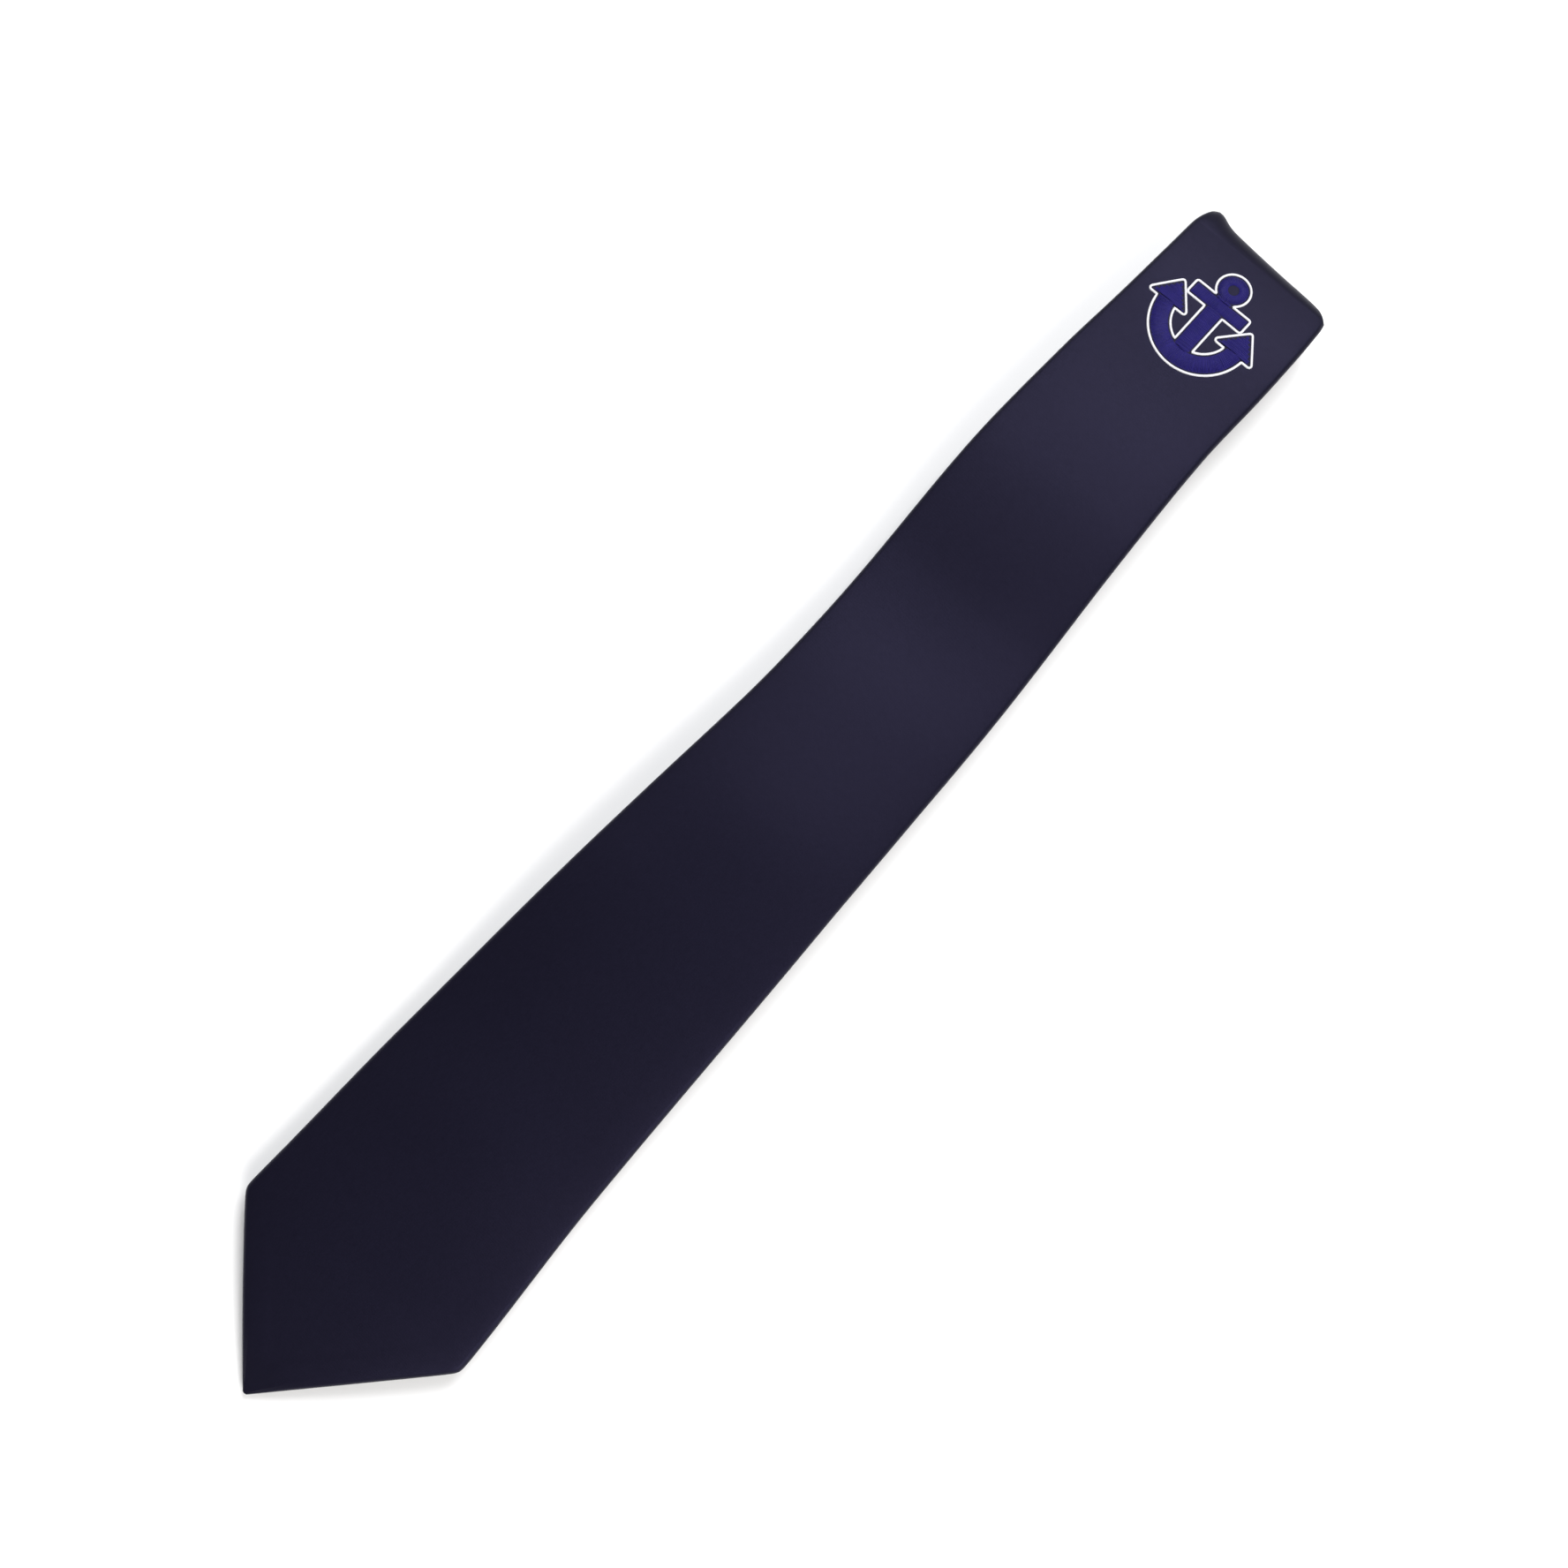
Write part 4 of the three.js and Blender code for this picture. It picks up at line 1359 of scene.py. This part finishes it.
@dataclass
class AnchorEmblem:
    """A plain anchor in satin stitch, with a raised pale satin outline."""

    kit: Kit
    x: float = -1.9
    y: float = 415.0
    shank: tuple[float, float, float] = (2.6, -15.0, 12.0)
    stock: tuple[float, float, float] = (9.5, 4.6, 8.4)
    eye: tuple[float, float, float] = (13.6, 4.6, 1.8)
    arms: tuple[float, float, float] = (-1.0, 10.4, 15.6)
    fluke: tuple[float, float, float, float, float] = (13.0, -2.0, 6.4, 5.6, 7.4)
    level: float = 0.75
    reach: float = 0.24
    pitch: float = 0.3
    thread: float = 0.165

    def bar(self, x: Array, y: Array, size: tuple[float, float, float]) -> Array:
        """Distance to an upright bar of a half width, bottom and top."""
        half, bottom, top = size
        dx = np.abs(x) - half
        dy = np.abs(y - (bottom + top) / 2) - (top - bottom) / 2
        return np.hypot(np.maximum(dx, 0), np.maximum(dy, 0)) + np.minimum(np.maximum(dx, dy), 0)

    def eye_disc(self, x: Array, y: Array) -> Array:
        """Distance to the eye, its hole left out."""
        return np.hypot(x, y - self.eye[0]) - self.eye[1]

    def arm_band(self, x: Array, y: Array) -> Array:
        """Distance to the two curved arms."""
        centre, inner, outer = self.arms
        mid, half = (inner + outer) / 2, (outer - inner) / 2
        below = np.abs(np.hypot(x, y - centre) - mid) - half
        above = np.hypot(np.maximum(np.abs(np.abs(x) - mid) - half, 0), y - centre)
        return np.where(y < centre, below, above)

    def flukes(self, x: Array, y: Array) -> Array:
        """Distance to the two pointed flukes."""
        at, bottom, inwards, outwards, height = self.fluke
        corners = np.array([[-inwards, 0.0], [outwards, 0.0], [0.0, height]])
        place = np.stack([np.abs(x) - at, y - bottom], axis=-1)
        nearest, deepest = np.full(np.shape(x), 1e9), np.full(np.shape(x), -1e9)
        for first, last in zip(corners, np.roll(corners, -1, axis=0)):
            side, away = last - first, place - first
            share = np.clip((away @ side) / (side @ side), 0, 1)[..., None]
            nearest = np.minimum(nearest, np.linalg.norm(away - share * side, axis=-1))
            outward = np.array([side[1], -side[0]]) / np.linalg.norm(side)
            deepest = np.maximum(deepest, away @ outward)
        return np.where(deepest > 0, nearest, deepest)

    def distance(self, x: Array, y: Array) -> Array:
        """Distance to the whole anchor, negative inside it."""
        parts = (self.bar(x, y, self.shank), self.bar(x, y, self.stock),
                 self.eye_disc(x, y), self.arm_band(x, y), self.flukes(x, y))
        return np.minimum.reduce(parts)

    def outline(self) -> Array:
        """Even points once round the middle of the border."""
        level = self.level
        step, small = 0.1, 0.02
        point = np.array([0.0, self.eye[0] + self.eye[1] + level])
        start, walked = point.copy(), [point.copy()]
        for _ in range(6000):
            for _ in range(3):
                x = point[0] + np.array([0, small, -small, 0, 0])
                y = point[1] + np.array([0, 0, 0, small, -small])
                d = self.distance(x, y)
                slope = np.array([d[1] - d[2], d[3] - d[4]]) / (2 * small)
                size = max(float(slope @ slope), 0.2)
                point = point - slope * (d[0] - level) / size
            walked.append(point.copy())
            if len(walked) > 60 and np.linalg.norm(point - start) < 1.1 * step:
                break
            way = np.array([slope[1], -slope[0]])
            point = point + step * way / max(float(np.linalg.norm(way)), 1e-6)
        line = np.array(walked[1:])
        for _ in range(5):
            line = (np.roll(line, 1, axis=0) + 2 * line + np.roll(line, -1, axis=0)) / 4
        ring = np.concatenate([line, line[:1]])
        run = np.concatenate([[0], np.cumsum(np.linalg.norm(np.diff(ring, axis=0), axis=1))])
        even = np.linspace(0, run[-1], round(run[-1] / self.pitch), endpoint=False)
        return np.stack([np.interp(even, run, ring[:, k]) for k in (0, 1)], axis=1)

    def on_cloth(self, points: Array, height: Array) -> Array:
        """Points at a height over the blade's front."""
        s = self.kit.shape
        x, y = points[:, 0] + self.x, points[:, 1] + self.y
        return s.place(y, x, s.front(y, x) + height)

    def border(self) -> None:
        """Short satin stitches across the outline."""
        line = self.outline()
        ahead = np.roll(line, -2, axis=0) - np.roll(line, 2, axis=0)
        ahead /= np.linalg.norm(ahead, axis=1, keepdims=True)
        across = np.stack([ahead[:, 1], -ahead[:, 0]], axis=1)
        angle = np.linspace(0, math.pi, 6)
        paths: list[Array] = []
        for point, way, normal in zip(line, ahead, across):
            t = -np.cos(angle)[:, None]
            path = point + t * (normal * self.reach + way * 0.12)
            paths.append(self.on_cloth(path, 0.32 * np.sin(angle) ** 0.8 - 0.06))
        obj = self.kit.sewing.lay(
            "emblem_outline", paths, self.thread, self.kit.finishes.pale, sides=5)
        self.kit.fit(obj, Body.BLADE, "emblem_border", "emblem_border")

    def runs(self, start: Array, end: Array, allowed: Rule) -> list[Array]:
        """The parts of a line where a stitch may lie, as pairs of end points."""
        t = np.linspace(0, 1, 48)[:, None]
        line = start + (end - start) * t
        free = np.concatenate([[False], allowed(line[:, 0], line[:, 1]), [False]]).astype(int)
        change = np.diff(free)
        firsts, lasts = np.where(change == 1)[0], np.where(change == -1)[0] - 1
        return [np.stack([line[a], line[b]]) for a, b in zip(firsts, lasts)
                if np.linalg.norm(line[b] - line[a]) > 0.7]

    def slats(self, first: float, last: float, half: float, rise: float) -> Array:
        """Nearly level lines across the middle, one above another."""
        y = np.arange(first, last, self.pitch)
        return np.stack([np.stack([0 * y - half, y], 1), np.stack([0 * y + half, y + rise], 1)], 1)

    def spokes(self, y: float, inner: float, outer: float, first: float, step: float) -> Array:
        """Lines out from a point on the middle, from an angle round to a full turn."""
        angle = np.arange(first, 2 * math.pi, step)
        way = np.stack([np.cos(angle), np.sin(angle)], 1)
        return np.stack([way * inner, way * outer], 1) + np.array([0, y])

    def strokes(self) -> list[tuple[Array, Rule]]:
        """Lines across each stroke of the anchor, and where stitches may lie on them."""
        stock_half, stock_low, stock_high = self.stock
        centre, inner, outer = self.arms
        shank_half, foot, head = self.shank
        _, fluke_low, _, _, fluke_height = self.fluke
        x = np.arange(-stock_half, stock_half + 0.01, self.pitch)
        upright = np.stack([
            np.stack([x, 0 * x + stock_low - 1], 1), np.stack([x + 0.4, 0 * x + stock_high + 1], 1),
        ], 1)
        gap = 0.1
        return [
            (upright, lambda x, y: self.bar(x, y, self.stock) < 0),
            (self.spokes(self.eye[0], self.eye[2], self.eye[1] + 0.5, 0, self.pitch / 3.4),
             lambda x, y: (self.eye_disc(x, y) < 0) & (self.bar(x, y, self.stock) > gap)),
            (self.spokes(centre, inner - 1, outer + 1, math.pi, self.pitch / 13),
             lambda x, y: (self.arm_band(x, y) < 0) & (self.flukes(x, y) > gap)),
            (self.slats(fluke_low - 1, fluke_low + fluke_height, stock_half + 12, 0.5),
             lambda x, y: self.flukes(x, y) < 0),
            (self.slats(foot, head, shank_half + 1, 0.4),
             lambda x, y: (self.bar(x, y, self.shank) < 0) & (self.bar(x, y, self.stock) > gap)
             & (self.eye_disc(x, y) > gap) & (self.arm_band(x, y) > gap)),
        ]

    def fill(self) -> None:
        """Satin stitches across each stroke, and across the eye's ring."""
        chance = np.random.default_rng(7)
        t = np.linspace(0, 1, 7)
        height = 0.30 * (1 - np.abs(2 * t - 1) ** 4) - 0.06
        paths: list[Array] = []
        for lines, allowed in self.strokes():
            for start, end in lines:
                for run in self.runs(start, end, allowed):
                    ends = run + chance.uniform(-0.05, 0.05, (2, 2))
                    path = ends[0] + (ends[1] - ends[0]) * t[:, None]
                    paths.append(self.on_cloth(path, height))
        obj = self.kit.sewing.lay(
            "emblem_anchor", paths, self.thread, self.kit.finishes.blue, sides=5)
        self.kit.fit(obj, Body.BLADE, "emblem_fill", "emblem_fill")

    def build(self) -> None:
        """Makes the fill and its border."""
        self.fill()
        self.border()


# ------------------------------------------------------------------ table, light, camera


@dataclass
class Studio:
    """A pale table, soft lights and the camera."""

    azimuth: float = 41.854
    elevation: float = 78.0
    distance: float = 707.856
    aim: tuple[float, float, float] = (-5.53, 7.43, 0.0)
    view_angle: float = 36.0
    table_sides: int = 96
    table_radius: float = 1.15
    table_level: float = -0.0004
    light_size: float = 0.9
    key_power: float = 18.5
    window_power: float = 20.3

    def table(self) -> None:
        """The table top, a little under the cloth."""
        mesh = bpy.data.meshes.new("table_top")
        turns = [2 * math.pi * i / self.table_sides for i in range(self.table_sides)]
        rim = [(self.table_radius * math.cos(a), self.table_radius * math.sin(a),
                self.table_level) for a in turns]
        mesh.from_pydata(rim, [], [tuple(range(self.table_sides))])
        mesh.materials.append(pale_table())
        placed("table_top", mesh)

    def area_light(self, name: str, place: Vector, power: float, colour: Colour) -> None:
        """A square soft light that faces the tie."""
        light = bpy.data.lights.new(name, "AREA")
        light.shape = "SQUARE"
        light.size = self.light_size
        light.energy = power
        light.color = colour
        aimed(placed(name, light), place, -place)

    def lights(self) -> None:
        """Soft lights from the right and from overhead, and an even pale surround."""
        world = bpy.data.worlds.new("pale_room")
        world.use_nodes = True
        graph = Graph(world.node_tree)
        place = graph.add("ShaderNodeTexCoord").outputs["Generated"]
        up = graph.add("ShaderNodeSeparateXYZ", Vector=place).outputs["Z"]
        height = graph.maths("POWER", graph.maths("MAXIMUM", up, 0.0), 0.6)
        colour = graph.blend(height, (1.0, 1.0, 1.0), (0.22, 0.22, 0.225))
        background = graph.add("ShaderNodeBackground", Color=colour)
        graph.add("ShaderNodeOutputWorld", Surface=background.outputs[0])
        bpy.context.scene.world = world
        bpy.context.scene.view_settings.view_transform = "Standard"
        self.area_light("key", Vector((1.0, -0.5, 1.1)), self.key_power, (1.0, 0.985, 0.96))
        self.area_light("window", Vector((-0.16, 0.85, 1.3)), self.window_power,
                        (0.97, 0.98, 1.0))

    def camera(self) -> None:
        """The camera, high over the tie and turned so that the tie lies across the view."""
        a, e = math.radians(self.azimuth), math.radians(self.elevation)
        back = Vector((math.sin(a) * math.cos(e), -math.cos(a) * math.cos(e), math.sin(e)))
        data = bpy.data.cameras.new("camera")
        data.sensor_fit = "AUTO"
        data.angle = math.radians(self.view_angle)
        data.clip_start, data.clip_end = 0.01, 50.0
        obj = placed("camera", data)
        aimed(obj, (Vector(self.aim) + back * self.distance) * MM, -back)
        bpy.context.scene.camera = obj

    def build(self) -> None:
        """Makes all three."""
        self.table()
        self.lights()
        self.camera()


def origin_of(frame: dict) -> tuple[float, float]:
    """Place in the shared frame of the design's own origin, in millimetres."""
    joint = next(j for j in frame["joints"] if j["name"] == "fold_1")
    low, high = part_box("tail_shell")
    across = (low[0] + high[0]) / 2 / MM
    along = joint["pos_m"][1] / MM - TieShape.fold_1.y
    return across, along


def main() -> None:
    """Builds the tie over its frame, in order from the silk to the table."""
    logging.basicConfig(level=logging.INFO, format="%(message)s")
    for obj in [o for o in bpy.data.objects if o.name in {"Cube", "Light", "Camera"}]:
        bpy.data.objects.remove(obj, do_unlink=True)
    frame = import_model()
    Studio().build()
    kit = Kit(TieShape(origin=origin_of(frame)), Sewing(), Finishes())
    SilkShell(kit).build()
    InnerLayers(kit).build()
    BackSeam(kit).build()
    BackDetails(kit).build()
    AnchorEmblem(kit).build()
    LOG.info("%d pieces", len(kit.built))
    bpy.context.view_layer.update()


if __name__ == "__main__":
    main()
